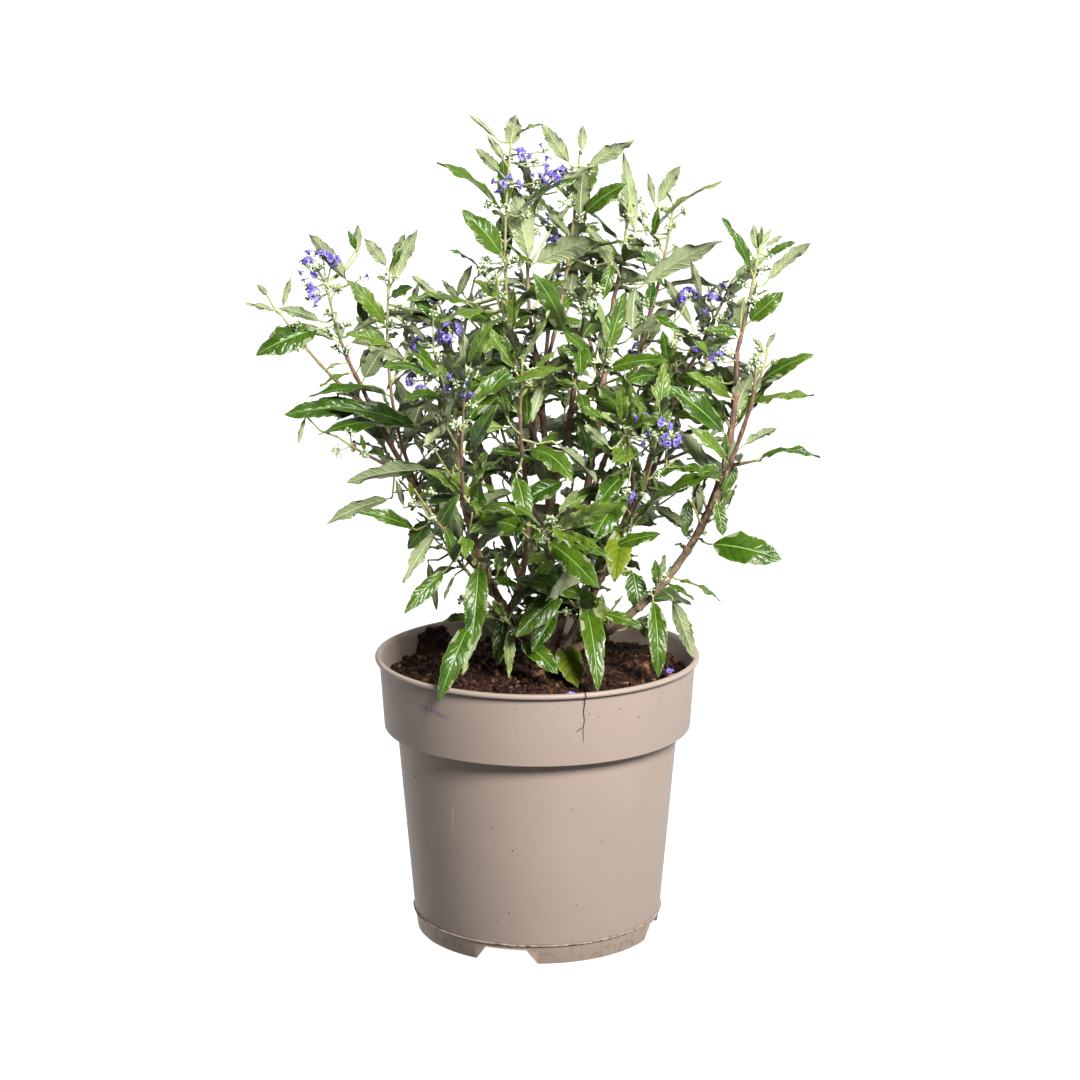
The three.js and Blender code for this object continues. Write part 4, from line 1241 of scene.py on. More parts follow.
for spray in sprays:
    spray["segments"] = segments_of(spray["stem"])
bough_segments = [segments_of(bough["curve"]) for bough in boughs.values()]
taken = np.zeros((0, 3))
shown_taken = np.zeros((0, 3))
shown_seen = np.zeros((0, 3))

# The photograph's own edge of the crown, and the open spots of sky within it, in its pixels.
PHOTO_SIDE = 1080
PHOTO_FOCUS = VIEW_LENS / view_data.sensor_width * PHOTO_SIDE
CROWN_OUTLINE = [
    (446, 636), (424, 592), (410, 572), (406, 536), (412, 508), (386, 500), (396, 478), (372, 464),
    (350, 440), (320, 430), (326, 400), (334, 386), (340, 364), (332, 348), (318, 322), (302, 302),
    (326, 290), (336, 268), (350, 248), (362, 240), (386, 252), (400, 264), (404, 290), (424, 300),
    (442, 306), (456, 294), (466, 284), (482, 278), (488, 250), (478, 224), (488, 190), (494, 160),
    (500, 130), (520, 126), (530, 142), (560, 150), (576, 132), (590, 130), (600, 166), (600, 200),
    (612, 216), (620, 172), (632, 172), (640, 214), (650, 180), (676, 174), (670, 206), (660, 226),
    (656, 246), (668, 264), (690, 256), (700, 264), (700, 276), (730, 264), (742, 240), (750, 226),
    (774, 236), (784, 250), (774, 276), (770, 292), (764, 312), (758, 342), (774, 364), (784, 384),
    (774, 400), (758, 412), (750, 422), (744, 452), (738, 482), (734, 510), (728, 532), (716, 542),
    (700, 552), (690, 576), (696, 600), (690, 640),
]
SKY_SPOTS = [
    (421, 284, 9), (340, 355, 8), (372, 300, 8), (310, 310, 7), (395, 282, 7), (436, 270, 12),
    (545, 345, 7), (556, 410, 8), (533, 473, 7), (543, 492, 6), (598, 268, 3), (620, 225, 12),
    (550, 260, 10), (540, 235, 8), (592, 196, 8), (610, 160, 10), (668, 236, 9), (690, 215, 14),
    (665, 285, 7), (683, 345, 5), (640, 345, 7), (662, 460, 5), (735, 350, 7), (756, 340, 8),
    (775, 320, 10), (722, 300, 7), (728, 270, 8), (700, 245, 9), (745, 430, 6), (700, 440, 6),
    (560, 482, 5), (500, 480, 5), (600, 460, 5), (655, 545, 9), (640, 590, 8), (680, 530, 10),
    (455, 590, 9), (440, 560, 8), (505, 598, 6), (447, 545, 6), (700, 520, 10), (668, 570, 8),
    (395, 400, 5), (410, 380, 4), (352, 325, 6), (330, 300, 7), (345, 300, 7), (375, 395, 5),
    (427, 332, 7), (547, 343, 7), (563, 222, 6), (627, 352, 6), (617, 337, 6), (673, 477, 6),
    (477, 497, 5), (460, 427, 5), (497, 437, 5), (507, 597, 6), (615, 593, 3), (457, 600, 7),
    (557, 507, 5), (613, 227, 6), (637, 267, 5), (420, 455, 6), (398, 455, 6), (404, 435, 5),
]


def in_photo(place):
    """The pixel of the photograph where a point shows."""
    away = place - np.array(VIEW_PLACE)
    deep = away[1] * math.cos(VIEW_TILT) - away[2] * math.sin(VIEW_TILT)
    up = away[1] * math.sin(VIEW_TILT) + away[2] * math.cos(VIEW_TILT)
    return PHOTO_SIDE / 2 + PHOTO_FOCUS * away[0] / deep, PHOTO_SIDE / 2 - PHOTO_FOCUS * up / deep


def within(outline, across, down):
    """Whether a pixel lies inside a closed outline."""
    inside = False
    for (x0, y0), (x1, y1) in zip(outline, outline[1:] + outline[:1]):
        if (y0 > down) != (y1 > down) and across < x0 + (down - y0) / (y1 - y0) * (x1 - x0):
            inside = not inside
    return inside


def covers_sky(leaf):
    """Whether a leaf would show where the photograph has sky."""
    for share in (0.5, 0.75, 0.97):
        across, down = in_photo(leaf["line"].point(share))
        if not within(CROWN_OUTLINE, across, down):
            return True
        if any(math.hypot(across - x, down - y) < reach + SKY_MARGIN for x, y, reach in SKY_SPOTS):
            return True
    return False


def seen_points(leaf, shares):
    """The pixels where points along a leaf show, each with how far back it lies."""
    points = leaf["line"].points(shares)
    return np.array([(*in_photo(point), point[1]) for point in points])


def hides_shown(leaf):
    """Whether a leaf would stand before one of those that show most."""
    for across, down, back in seen_points(leaf, (0.3, 0.6, 0.9)):
        close = np.hypot(shown_seen[:, 0] - across, shown_seen[:, 1] - down) < HIDE_REACH
        if (close & (shown_seen[:, 2] > back + HIDE_DEPTH)).any():
            return True
    return False


def near_any(places, points, clear):
    """Whether one of the points comes closer than clear to one of the places."""
    return len(places) > 0 and min(np.linalg.norm(places - point, axis=1).min() for point in points) < clear


def keeps_to_space(leaf, spray):
    """Whether a leaf stays nearer its own stem than a neighbour's, inside the crown and off the pot."""
    global taken
    middle = leaf["line"].point(0.5)
    own = distance_to(spray["segments"], middle)
    for other in sprays:
        if other is not spray and distance_to(other["segments"], middle) < NEIGHBOUR_SHARE * own:
            return False
    tip = leaf["line"].tip
    if abs(tip[0]) > CROWN_SIDE or abs(tip[1]) > CROWN_DEPTH or tip[2] > cad_high.z - 0.001:
        return False
    for share in (0.45, 0.7, 0.95):
        point = leaf["line"].point(share)
        if min(distance_to(segments, point) for segments in bough_segments) < LIMB_CLEAR:
            return False
        radius = math.hypot(point[0], point[1])
        if point[2] < POT_HEIGHT + RIM_CLEAR and radius > RIM_RADIUS - RIM_INSET:
            return False
        if point[2] < SOIL_LEVEL + SOIL_CLEAR and radius < RIM_RADIUS:
            return False
    if covers_sky(leaf) or hides_shown(leaf):
        return False
    points = leaf["line"].points((0.5, 0.95))
    if near_any(taken, points, LEAF_CLEAR) or near_any(shown_taken, points, SHOWN_CLEAR):
        return False
    taken = np.vstack([taken, points])
    return True


def leaf_upper(name, dark, light, gloss):
    """The upper side: quilted between sunken veins, glossy as if wet, with a pale rolled edge and tip."""
    finish, place, shader = new_finish(name)
    across = place.node("ShaderNodeSeparateXYZ", {}, {0: place.beside("UV")})
    out = abs(across - 0.5) * 2
    along = across.beside("Y")
    cloud = place.noise(0.009, 3)
    fine = place.noise(0.0012, 3)
    ribs = (along * 7.5 - out * 1.5 + cloud * 0.8).maths("FRACT")
    pillow = (1 - (abs(ribs - 0.5) * 2) ** 3) * out.step(0.02, 0.2)
    colour = (cloud * 0.75 + fine * 0.15 + pillow * 0.1).step(0.3, 0.66).tint(dark, light)
    pale = tuple(min(1.0, channel * 1.4 + rise) for channel, rise in zip(light, (0.06, 0.085, 0.02)))
    edged = (out.step(0.88, 0.98) * 0.6).maths("MAXIMUM", along.step(0.8, 1.05) * 0.35).tint(colour, pale)
    set_shader(shader, Base_Color=edged, Roughness=gloss + fine * 0.2)
    set_shader(shader, Normal=(pillow * 0.35 + cloud * 1.4 + fine * 0.3).relief(0.0006, 1.0))
    set_shader(shader, Specular_IOR_Level=0.4)
    return finish


def leaf_lower(name, dark, light):
    """The lower side: matt and felted, with its veins standing out."""
    finish, place, shader = new_finish(name)
    across = place.node("ShaderNodeSeparateXYZ", {}, {0: place.beside("UV")})
    out = abs(across - 0.5) * 2
    ribs = (across.beside("Y") * 8.5 - out * 1.5).maths("FRACT")
    vein = (abs(ribs - 0.5) * 2).step(0.72, 0.98)
    cloud = place.noise(0.008, 3)
    fine = place.noise(0.0009, 3)
    colour = (cloud * 0.45 + fine * 0.25 + vein * 0.3).step(0.2, 0.62).tint(dark, light)
    set_shader(shader, Base_Color=colour, Roughness=0.7 + fine * 0.16)
    set_shader(shader, Normal=(vein + fine * 0.5).relief(0.0005, 0.8))
    set_shader(shader, Specular_IOR_Level=0.3, Sheen_Weight=0.2)
    return finish


LEAF_FINISHES = [
    leaf_upper("leaf_deep", (0.014, 0.04, 0.002), (0.04, 0.088, 0.004), 0.18),
    leaf_upper("leaf_green", (0.02, 0.054, 0.002), (0.056, 0.104, 0.005), 0.22),
    leaf_upper("leaf_fresh", (0.046, 0.09, 0.005), (0.094, 0.144, 0.013), 0.3),
    leaf_upper("leaf_young", (0.12, 0.17, 0.045), (0.2, 0.255, 0.08), 0.42),
    leaf_upper("leaf_yellowing", (0.055, 0.09, 0.004), (0.135, 0.17, 0.01), 0.3),
    leaf_lower("back_sage", (0.14, 0.17, 0.075), (0.22, 0.255, 0.12)),
    leaf_lower("back_grey", (0.18, 0.215, 0.105), (0.275, 0.315, 0.16)),
    leaf_lower("back_young", (0.235, 0.275, 0.135), (0.355, 0.4, 0.21)),
    stem_finish("leaf_stalk", (0.3, 0.33, 0.1)),
    flat_finish("midrib_green", (0.14, 0.25, 0.045), 0.45, 0.12),
    flat_finish("midrib_pale", (0.42, 0.5, 0.2), 0.5, 0.12),
]
YOUNG_LOOK = 3
STALK_LOOK = 8
RIB_LOOK = 9
UNDER_RIB_LOOK = 10
# The finishes of a leaf's upper and lower side, by its tone.
TONES = {"deep": (0, 5), "green": (1, 6), "fresh": (2, 6), "young": (3, 7), "yellowing": (4, 6)}


def add_leaf(leaf, leaves):
    """Adds a leaf with its two sides, its midrib and its stalk to the leaves of a mass."""
    _, faces = blade_of(leaf)
    upper, lower, places, stalk = leaf_shape(leaf)
    top_look, under_look = TONES[leaf_tone(leaf)]
    # The midrib of a young or yellowing leaf is as pale as its blade.
    top_rib = RIB_LOOK if top_look < YOUNG_LOOK else top_look
    on_rib = [face % (len(COLUMNS) - 1) == MIDRIB_COLUMN for face in range(len(faces))]
    top = [top_rib if rib else top_look for rib in on_rib]
    under = [UNDER_RIB_LOOK if rib else under_look for rib in on_rib]
    leaves.add(upper, [face[::-1] for face in faces], top, places)
    leaves.add(lower, faces, under, places)
    corners, stalk_faces = tube(stalk, [0.0007, 0.0005, 0.0005, 0.0004], 5)
    leaves.add(corners, stalk_faces, STALK_LOOK)


def region_of(spray):
    """The part of the crown that a spray belongs to; the leaves of each part make one piece."""
    tip = spray["tip"]
    if tip[1] > 0.04:
        return "back_left" if tip[0] < 0.03 else "back_right"
    if tip[0] < -0.03:
        return "left"
    return "right" if tip[0] > 0.06 else "front"


# The leaves that show most
# Each stands on the nearest shoot or bough, on its own stalk, and shows its upper side, its back or its
# edge. Its root and its tip are given as a pixel of the photograph, across and down, with how far behind
# the pot's axis the point lies, in mm.
FAR_ROOT = 0.005
LEAF_ARCH = 0.09
UPPER_WAY = {
    "top": (0.1, -0.75, 0.6),
    "back": (-0.1, 0.85, 0.4),
    "edge": (0.0, -0.28, 0.95),
}


def placed(show, tone, wide, root, tip, arch=LEAF_ARCH):
    """A leaf that shows: which side of it, its tone, its width against its length, and its place."""
    return dict(show=show, tone=tone, wide=wide, root=root, tip=tip, arch=arch)


SHOWN_LEAVES = {
    "crown_wide": placed("back", "young", 0.44, root=(505, 156, 0), tip=(516, 114, -5)),
    "crown_thin": placed("back", "young", 0.2, root=(499, 141, 2), tip=(468, 114, -2)),
    "crown_second": placed("back", "young", 0.27, root=(503, 166, 2), tip=(487, 135, -4)),
    "crown_arch": placed("edge", "young", 0.22, root=(508, 140, 0), tip=(543, 124, -6)),
    "crown_up": placed("back", "fresh", 0.27, root=(502, 184, 2), tip=(475, 148, -6)),
    "crown_long": placed("edge", "green", 0.3, root=(500, 219, 2), tip=(437, 163, -14)),
    "crown_broad": placed("top", "green", 0.42, root=(510, 260, 2), tip=(462, 211, -10)),
    "crown_right": placed("edge", "deep", 0.34, root=(519, 216, 2), tip=(578, 178, -6)),
    "crown_pale": placed("back", "young", 0.3, root=(556, 192, 14), tip=(589, 166, 10)),
    "sage_up": placed("back", "young", 0.42, root=(530, 263, 8), tip=(515, 192, -4)),
    "sage_right": placed("back", "young", 0.36, root=(531, 265, 8), tip=(600, 240, -10)),
    "sage_drop": placed("back", "deep", 0.26, root=(572, 238, 30), tip=(545, 212, 20)),
    "peak_left": placed("back", "young", 0.3, root=(571, 166, 34), tip=(541, 124, 26)),
    "peak_up": placed("back", "young", 0.4, root=(582, 153, 36), tip=(583, 125, 34)),
    "peak_right": placed("back", "young", 0.33, root=(586, 169, 34), tip=(634, 141, 26)),
    "peak_dark": placed("back", "deep", 0.5, root=(580, 218, 36), tip=(583, 172, 28)),
    "peak_green": placed("top", "green", 0.36, root=(583, 215, 34), tip=(627, 183, 24)),
    "peak_droop": placed("back", "fresh", 0.2, root=(581, 220, 34), tip=(621, 278, 16)),
    "peak_thin": placed("edge", "deep", 0.3, root=(570, 265, 30), tip=(623, 242, 14)),
    "tall_up": placed("back", "young", 0.2, root=(636, 238, 54), tip=(624, 153, 44)),
    "far_dark": placed("top", "green", 0.36, root=(653, 236, 80), tip=(658, 207, 74)),
    "tall_hang": placed("back", "fresh", 0.36, root=(636, 284, 46), tip=(633, 333, 30)),
    "tall_dark": placed("top", "deep", 0.5, root=(652, 283, 54), tip=(648, 310, 44)),
    "tall_olive": placed("back", "fresh", 0.2, root=(625, 342, 30), tip=(681, 309, 10)),
    "right_shade": placed("top", "deep", 0.24, root=(676, 303, 20), tip=(656, 278, 12)),
    "tall_right": placed("back", "young", 0.26, root=(639, 288, 50), tip=(722, 241, 34)),
    "far_tip": placed("back", "young", 0.34, root=(657, 207, 82), tip=(681, 165, 74)),
    "far_thin": placed("back", "fresh", 0.22, root=(655, 206, 82), tip=(648, 173, 76)),
    "far_sweep": placed("edge", "young", 0.2, root=(654, 232, 80), tip=(722, 182, 68)),
    "left_dark": placed("edge", "deep", 0.26, root=(488, 280, 0), tip=(450, 249, -12)),
    "left_oval": placed("top", "fresh", 0.42, root=(500, 306, 0), tip=(473, 280, -10)),
    "middle_long": placed("top", "green", 0.3, root=(566, 336, -8), tip=(532, 272, -26)),
    "right_up": placed("top", "deep", 0.22, root=(749, 277, -10), tip=(722, 218, -20)),
    "right_bud": placed("back", "fresh", 0.3, root=(760, 255, -10), tip=(753, 224, -14)),
    "right_spear": placed("top", "fresh", 0.2, root=(764, 252, -10), tip=(762, 225, -12)),
    "right_spoon": placed("back", "young", 0.3, root=(765, 252, -8), tip=(771, 229, -10)),
    "right_cup": placed("back", "young", 0.26, root=(766, 253, -10), tip=(784, 235, -12)),
    "right_veil": placed("back", "young", 0.44, root=(752, 278, -4), tip=(748, 248, 2)),
    "right_short": placed("top", "green", 0.34, root=(768, 255, -10), tip=(796, 242, -14)),
    "right_pale": placed("back", "young", 0.26, root=(764, 285, -10), tip=(813, 242, -22)),
    "right_green": placed("top", "green", 0.42, root=(750, 330, -12), tip=(784, 292, -22)),
    "right_sage": placed("back", "deep", 0.5, root=(743, 338, -12), tip=(743, 300, -18)),
    "right_in": placed("top", "green", 0.36, root=(738, 333, -12), tip=(706, 330, -24)),
    "right_thin": placed("edge", "fresh", 0.2, root=(723, 383, -14), tip=(672, 327, -26)),
    "right_out": placed("top", "green", 0.3, root=(756, 385, -16), tip=(813, 354, -32)),
    "right_under": placed("back", "young", 0.32, root=(752, 393, -16), tip=(783, 376, -30)),
    "right_crest": placed("back", "young", 0.3, root=(766, 349, -50), tip=(776, 332, -54)),
    "right_twin": placed("back", "young", 0.3, root=(765, 350, -50), tip=(752, 338, -54)),
    "right_flat": placed("edge", "fresh", 0.3, root=(750, 406, -18), tip=(814, 396, -34)),
    "right_wide": placed("back", "fresh", 0.4, root=(728, 422, -18), tip=(752, 372, -24)),
    "right_back": placed("top", "fresh", 0.28, root=(736, 402, -18), tip=(687, 372, -30)),
    "right_deep": placed("top", "deep", 0.36, root=(722, 440, -18), tip=(667, 386, -30)),
    "right_fold": placed("back", "young", 0.3, root=(742, 452, -34), tip=(779, 428, -42)),
    "right_bar": placed("edge", "deep", 0.24, root=(757, 461, -48), tip=(820, 458, -56), arch=0.16),
    "right_front": placed("top", "fresh", 0.3, root=(727, 463, -30), tip=(687, 425, -42)),
    "right_olive": placed("back", "fresh", 0.28, root=(712, 476, -28), tip=(678, 428, -36)),
    "right_grey": placed("back", "young", 0.24, root=(703, 302, 22), tip=(691, 261, 12)),
    "right_stub": placed("edge", "young", 0.24, root=(704, 302, 22), tip=(729, 280, 16)),
    "right_dark": placed("back", "deep", 0.22, root=(694, 330, 16), tip=(664, 278, 8)),
    "left_big": placed("top", "deep", 0.46, root=(322, 328, -20), tip=(256, 355, -34)),
    "left_tip": placed("back", "young", 0.24, root=(282, 311, -26), tip=(246, 304, -36)),
    "left_twin": placed("back", "young", 0.4, root=(268, 297, -30), tip=(257, 284, -34)),
    "left_sprig": placed("back", "young", 0.24, root=(281, 309, -26), tip=(291, 277, -30)),
    "left_under": placed("back", "fresh", 0.28, root=(322, 322, -20), tip=(278, 308, -28)),
    "left_flag": placed("back", "fresh", 0.27, root=(349, 284, -18), tip=(308, 233, -28)),
    "left_long": placed("top", "fresh", 0.28, root=(387, 328, -4), tip=(345, 278, -18)),
    "left_level": placed("top", "fresh", 0.4, root=(390, 346, -6), tip=(346, 334, -20)),
    "left_sage": placed("back", "young", 0.34, root=(408, 362, -6), tip=(366, 346, -18)),
    "left_fan": placed("back", "deep", 0.6, root=(366, 384, -14), tip=(382, 350, -18)),
    "tall_left": placed("back", "young", 0.32, root=(386, 272, 14), tip=(364, 238, 6)),
    "tall_long": placed("back", "young", 0.22, root=(389, 298, 14), tip=(418, 228, 4)),
    "tall_fork": placed("back", "fresh", 0.3, root=(387, 262, 14), tip=(405, 234, 8)),
    "post_up": placed("back", "young", 0.3, root=(357, 256, -4), tip=(358, 224, -10)),
    "edge_first": placed("back", "fresh", 0.2, root=(354, 361, -16), tip=(324, 371, -28)),
    "edge_second": placed("edge", "fresh", 0.28, root=(352, 374, -16), tip=(320, 387, -28)),
    "edge_third": placed("edge", "deep", 0.26, root=(390, 396, -10), tip=(309, 397, -34)),
    "edge_olive": placed("top", "deep", 0.32, root=(372, 410, -12), tip=(284, 415, -34)),
    "edge_glossy": placed("top", "deep", 0.27, root=(420, 430, -10), tip=(330, 406, -36)),
    "edge_long": placed("edge", "deep", 0.26, root=(420, 427, -14), tip=(319, 434, -40)),
    "edge_hang": placed("back", "fresh", 0.22, root=(306, 416, -28), tip=(298, 445, -34)),
    "left_needle": placed("back", "deep", 0.14, root=(409, 322, 10), tip=(420, 278, 2)),
    "left_shade": placed("top", "deep", 0.4, root=(441, 322, -10), tip=(412, 300, -22)),
    "post_dark": placed("top", "deep", 0.4, root=(356, 250, -4), tip=(348, 231, -8)),
    "tall_inner": placed("top", "deep", 0.3, root=(387, 272, 16), tip=(402, 250, 10)),
    "tall_low": placed("top", "green", 0.34, root=(384, 298, 10), tip=(413, 287, -2)),
    "saddle_sage": placed("back", "young", 0.24, root=(441, 304, 0), tip=(411, 275, -10)),
    "saddle_olive": placed("back", "fresh", 0.26, root=(460, 302, 2), tip=(442, 280, -6)),
    "saddle_green": placed("top", "green", 0.24, root=(456, 299, -10), tip=(407, 300, -26)),
    "saddle_level": placed("edge", "green", 0.24, root=(482, 310, -8), tip=(424, 297, -26)),
    "saddle_up": placed("back", "deep", 0.24, root=(457, 300, 4), tip=(472, 265, -4)),
    "saddle_tooth": placed("edge", "fresh", 0.34, root=(490, 311, -16), tip=(442, 321, -36)),
    "fork_sage": placed("back", "young", 0.4, root=(346, 346, -18), tip=(336, 321, -24)),
    "fork_left": placed("back", "fresh", 0.28, root=(340, 346, -18), tip=(304, 329, -28)),
    "fork_dark": placed("top", "deep", 0.44, root=(366, 324, -4), tip=(357, 299, -10)),
    "fork_right": placed("back", "fresh", 0.26, root=(350, 334, -12), tip=(378, 320, -22)),
    "light_leaf": placed("back", "young", 0.3, root=(452, 424, -60), tip=(422, 447, -74)),
    "grey_wing": placed("back", "deep", 0.27, root=(436, 470, -46), tip=(347, 483, -64)),
    "grey_wing_low": placed("back", "deep", 0.24, root=(392, 498, -28), tip=(326, 524, -40)),
    "left_point": placed("top", "green", 0.3, root=(416, 530, -22), tip=(357, 511, -36)),
    "rim_leaf": placed("top", "deep", 0.25, root=(471, 622, -52), tip=(438, 703, -82), arch=0.2),
    "glossy_drop": placed("top", "green", 0.34, root=(481, 558, -36), tip=(472, 645, -62)),
    "left_down": placed("top", "green", 0.27, root=(446, 570, -52), tip=(404, 614, -72)),
    "grey_down": placed("back", "fresh", 0.3, root=(438, 530, -50), tip=(404, 583, -60)),
    "front_low": placed("top", "green", 0.36, root=(564, 590, -22), tip=(516, 637, -46)),
    "front_level": placed("top", "green", 0.27, root=(588, 599, -14), tip=(512, 579, -38)),
    "pale_wing": placed("back", "young", 0.3, root=(597, 572, -18), tip=(545, 601, -62)),
    "mid_low": placed("top", "green", 0.42, root=(520, 640, -20), tip=(558, 674, -42)),
    "mid_arch": placed("top", "green", 0.28, root=(582, 596, -6), tip=(598, 691, -54), arch=0.16),
    "olive_low": placed("top", "yellowing", 0.44, root=(562, 646, -2), tip=(577, 688, -40)),
    "right_drop": placed("top", "green", 0.32, root=(655, 597, -8), tip=(658, 677, -34), arch=0.16),
    "right_rim": placed("back", "fresh", 0.28, root=(671, 596, -4), tip=(695, 660, -14)),
    "low_dark": placed("top", "deep", 0.46, root=(556, 612, -22), tip=(532, 652, -40)),
    "low_out": placed("top", "green", 0.3, root=(598, 612, -10), tip=(644, 628, -20)),
    "low_gold": placed("top", "yellowing", 0.36, root=(628, 622, -4), tip=(655, 643, -12)),
    "right_large": placed("top", "deep", 0.5, root=(708, 544, -20), tip=(782, 560, -36)),
    "dark_curtain": placed("top", "deep", 0.4, root=(505, 610, -4), tip=(497, 665, -16)),
    "pale_strip": placed("edge", "young", 0.16, root=(512, 612, -10), tip=(509, 678, -40)),
    "left_strip": placed("back", "fresh", 0.2, root=(492, 610, -30), tip=(463, 675, -52)),
    "small_right": placed("edge", "fresh", 0.14, root=(676, 579, -8), tip=(722, 602, -16)),
    "right_hang": placed("top", "green", 0.46, root=(718, 499, -24), tip=(723, 536, -34)),
    "right_oval": placed("top", "green", 0.44, root=(737, 463, -28), tip=(722, 494, -30)),
    "middle_sweep": placed("edge", "green", 0.26, root=(630, 530, -30), tip=(724, 471, -56)),
    "middle_blade": placed("top", "green", 0.3, root=(612, 548, -34), tip=(661, 534, -46)),
    "middle_fold": placed("top", "green", 0.42, root=(688, 499, 0), tip=(684, 536, -8)),
    "middle_cape": placed("top", "deep", 0.52, root=(632, 570, 4), tip=(640, 612, -8)),
    "sprig_left": placed("top", "green", 0.3, root=(659, 590, -6), tip=(655, 559, -14)),
    "sprig_up": placed("back", "fresh", 0.22, root=(663, 586, -8), tip=(665, 554, -14)),
    "sprig_right": placed("back", "fresh", 0.24, root=(664, 584, -10), tip=(678, 563, -16)),
    "sprig_low": placed("top", "green", 0.24, root=(664, 584, -10), tip=(694, 600, -22)),
    "nest_up": placed("back", "fresh", 0.24, root=(404, 508, -34), tip=(396, 480, -40)),
    "nest_gold": placed("top", "yellowing", 0.4, root=(412, 498, -40), tip=(409, 481, -42)),
    "nest_right": placed("top", "fresh", 0.26, root=(420, 502, -40), tip=(449, 470, -50)),
    "nest_level": placed("top", "green", 0.36, root=(424, 504, -36), tip=(463, 499, -44)),
    "nest_dark": placed("top", "deep", 0.28, root=(433, 538, -48), tip=(459, 494, -58)),
    "nest_oval": placed("top", "green", 0.46, root=(455, 562, -50), tip=(445, 527, -58)),
    "nest_behind": placed("top", "deep", 0.5, root=(433, 515, -14), tip=(408, 549, -18)),
    "hang_dark": placed("back", "deep", 0.22, root=(428, 560, -10), tip=(437, 610, -14)),
    "hang_thin": placed("back", "deep", 0.14, root=(456, 574, -24), tip=(443, 602, -28)),
    "low_short": placed("top", "green", 0.34, root=(484, 582, -30), tip=(519, 588, -42)),
    "front_arch": placed("edge", "green", 0.2, root=(477, 511, -64), tip=(541, 525, -86), arch=0.2),
    "front_oval": placed("top", "green", 0.44, root=(516, 474, -66), tip=(527, 524, -82)),
    "front_gloss": placed("top", "deep", 0.36, root=(471, 452, -70), tip=(497, 404, -84)),
    "front_grey": placed("edge", "fresh", 0.22, root=(480, 401, -76), tip=(562, 372, -86)),
    "front_sage": placed("back", "young", 0.42, root=(466, 368, -74), tip=(464, 334, -78)),
    "front_green": placed("top", "fresh", 0.32, root=(470, 366, -74), tip=(493, 321, -84)),
    "front_left": placed("top", "green", 0.34, root=(404, 342, -50), tip=(440, 378, -70)),
    "heart_droop": placed("back", "fresh", 0.28, root=(545, 380, -60), tip=(532, 422, -70)),
    "heart_long": placed("back", "fresh", 0.24, root=(552, 441, -62), tip=(597, 482, -78)),
    "heart_pale": placed("back", "young", 0.28, root=(611, 449, -66), tip=(583, 425, -76)),
    "middle_grey": placed("back", "deep", 0.4, root=(652, 506, -6), tip=(684, 528, -16)),
    "tall_slip": placed("top", "green", 0.36, root=(612, 262, 20), tip=(603, 300, 12)),
    "veil_green": placed("top", "green", 0.4, root=(652, 316, 10), tip=(680, 333, 0)),
    "middle_dark": placed("top", "deep", 0.36, root=(566, 480, -20), tip=(510, 510, -36)),
    "heart_left": placed("top", "fresh", 0.32, root=(476, 500, -40), tip=(425, 470, -56)),
}


def seen_at(spot):
    """The point that shows at a pixel of the photograph, so many mm behind the pot's axis."""
    across, down, deep = spot
    right, up = (across - PHOTO_SIDE / 2) / PHOTO_FOCUS, (PHOTO_SIDE / 2 - down) / PHOTO_FOCUS
    forward = (math.cos(VIEW_TILT), -math.sin(VIEW_TILT))
    way = np.array([right, forward[0] - up * forward[1], forward[1] + up * forward[0]])
    return np.array(VIEW_PLACE) + way * (deep / 1000 - VIEW_PLACE[1]) / way[1]


def nearest_limb(place):
    """The closest point on a shoot or a bough, and the spray that it carries or belongs to."""
    best = None
    for spray in sprays:
        for curve in (spray["stem"], boughs[spray["on"]]["curve"]):
            points = curve.points(np.linspace(0.04, 1, 60))
            gaps = np.linalg.norm(points - place, axis=1)
            if best is None or gaps.min() < best[0] - 1e-6:
                best = (gaps.min(), points[gaps.argmin()], spray)
    return best


def shown_leaf(plan, number):
    """A leaf between a root and a tip, on a thin twig where its root lies far from the limb."""
    root, tip = seen_at(plan["root"]), seen_at(plan["tip"])
    gap, foot, spray = nearest_limb(root)
    blade = np.linalg.norm(tip - root)
    if gap > FAR_ROOT:
        bend = foot * 0.45 + root * 0.55 + np.array([0, 0, -0.12 * gap])
        corners, faces = tube([foot, bend, root], [TWIG_RADIUS, 0.00065, 0.0005], 6)
        twigs.add(corners, faces, 4)
        foot, gap = root, 0
    way = np.array(UPPER_WAY[plan["show"]])
    course = unit(tip - foot)
    lift = unit(way - course * (way @ course))
    handle = (foot + tip) / 2 + lift * 2 * plan["arch"] * blade
    line = Curve(foot, handle, tip)
    stalk = min(0.3, (gap + 0.07 * blade) / line.length)
    luck = 0.2 + 0.6 * (number * 0.618 % 1)
    leaf = dict(line=line, side=np.cross(way, course), length=blade, luck=luck, stalk=stalk)
    return dict(leaf, wide=plan["wide"], tone=plan["tone"]), spray


crowns = {}
for spray in sprays:
    crowns.setdefault(region_of(spray), []).append(spray)
kept = {spray["name"]: [] for spray in sprays}
for number, plan in enumerate(SHOWN_LEAVES.values()):
    leaf, spray = shown_leaf(plan, number)
    kept[spray["name"]].append(leaf)
    shown_taken = np.vstack([shown_taken, leaf["line"].points((0.5, 0.95))])
    shown_seen = np.vstack([shown_seen, seen_points(leaf, (0.25, 0.45, 0.65, 0.85))])

# Leaf masses
# The rest of the leaves grow by the rule: first the pairs on the shoots, then those on side twigs, and last
# the short tufts that break from the old nodes of the boughs.
TUFT_GAP = 0.026
TUFT_REACH = (0.008, 0.02)
TUFT_CHANCE = 0.7
TUFT_LEAF = 0.55
NODE_LEAF = 0.78

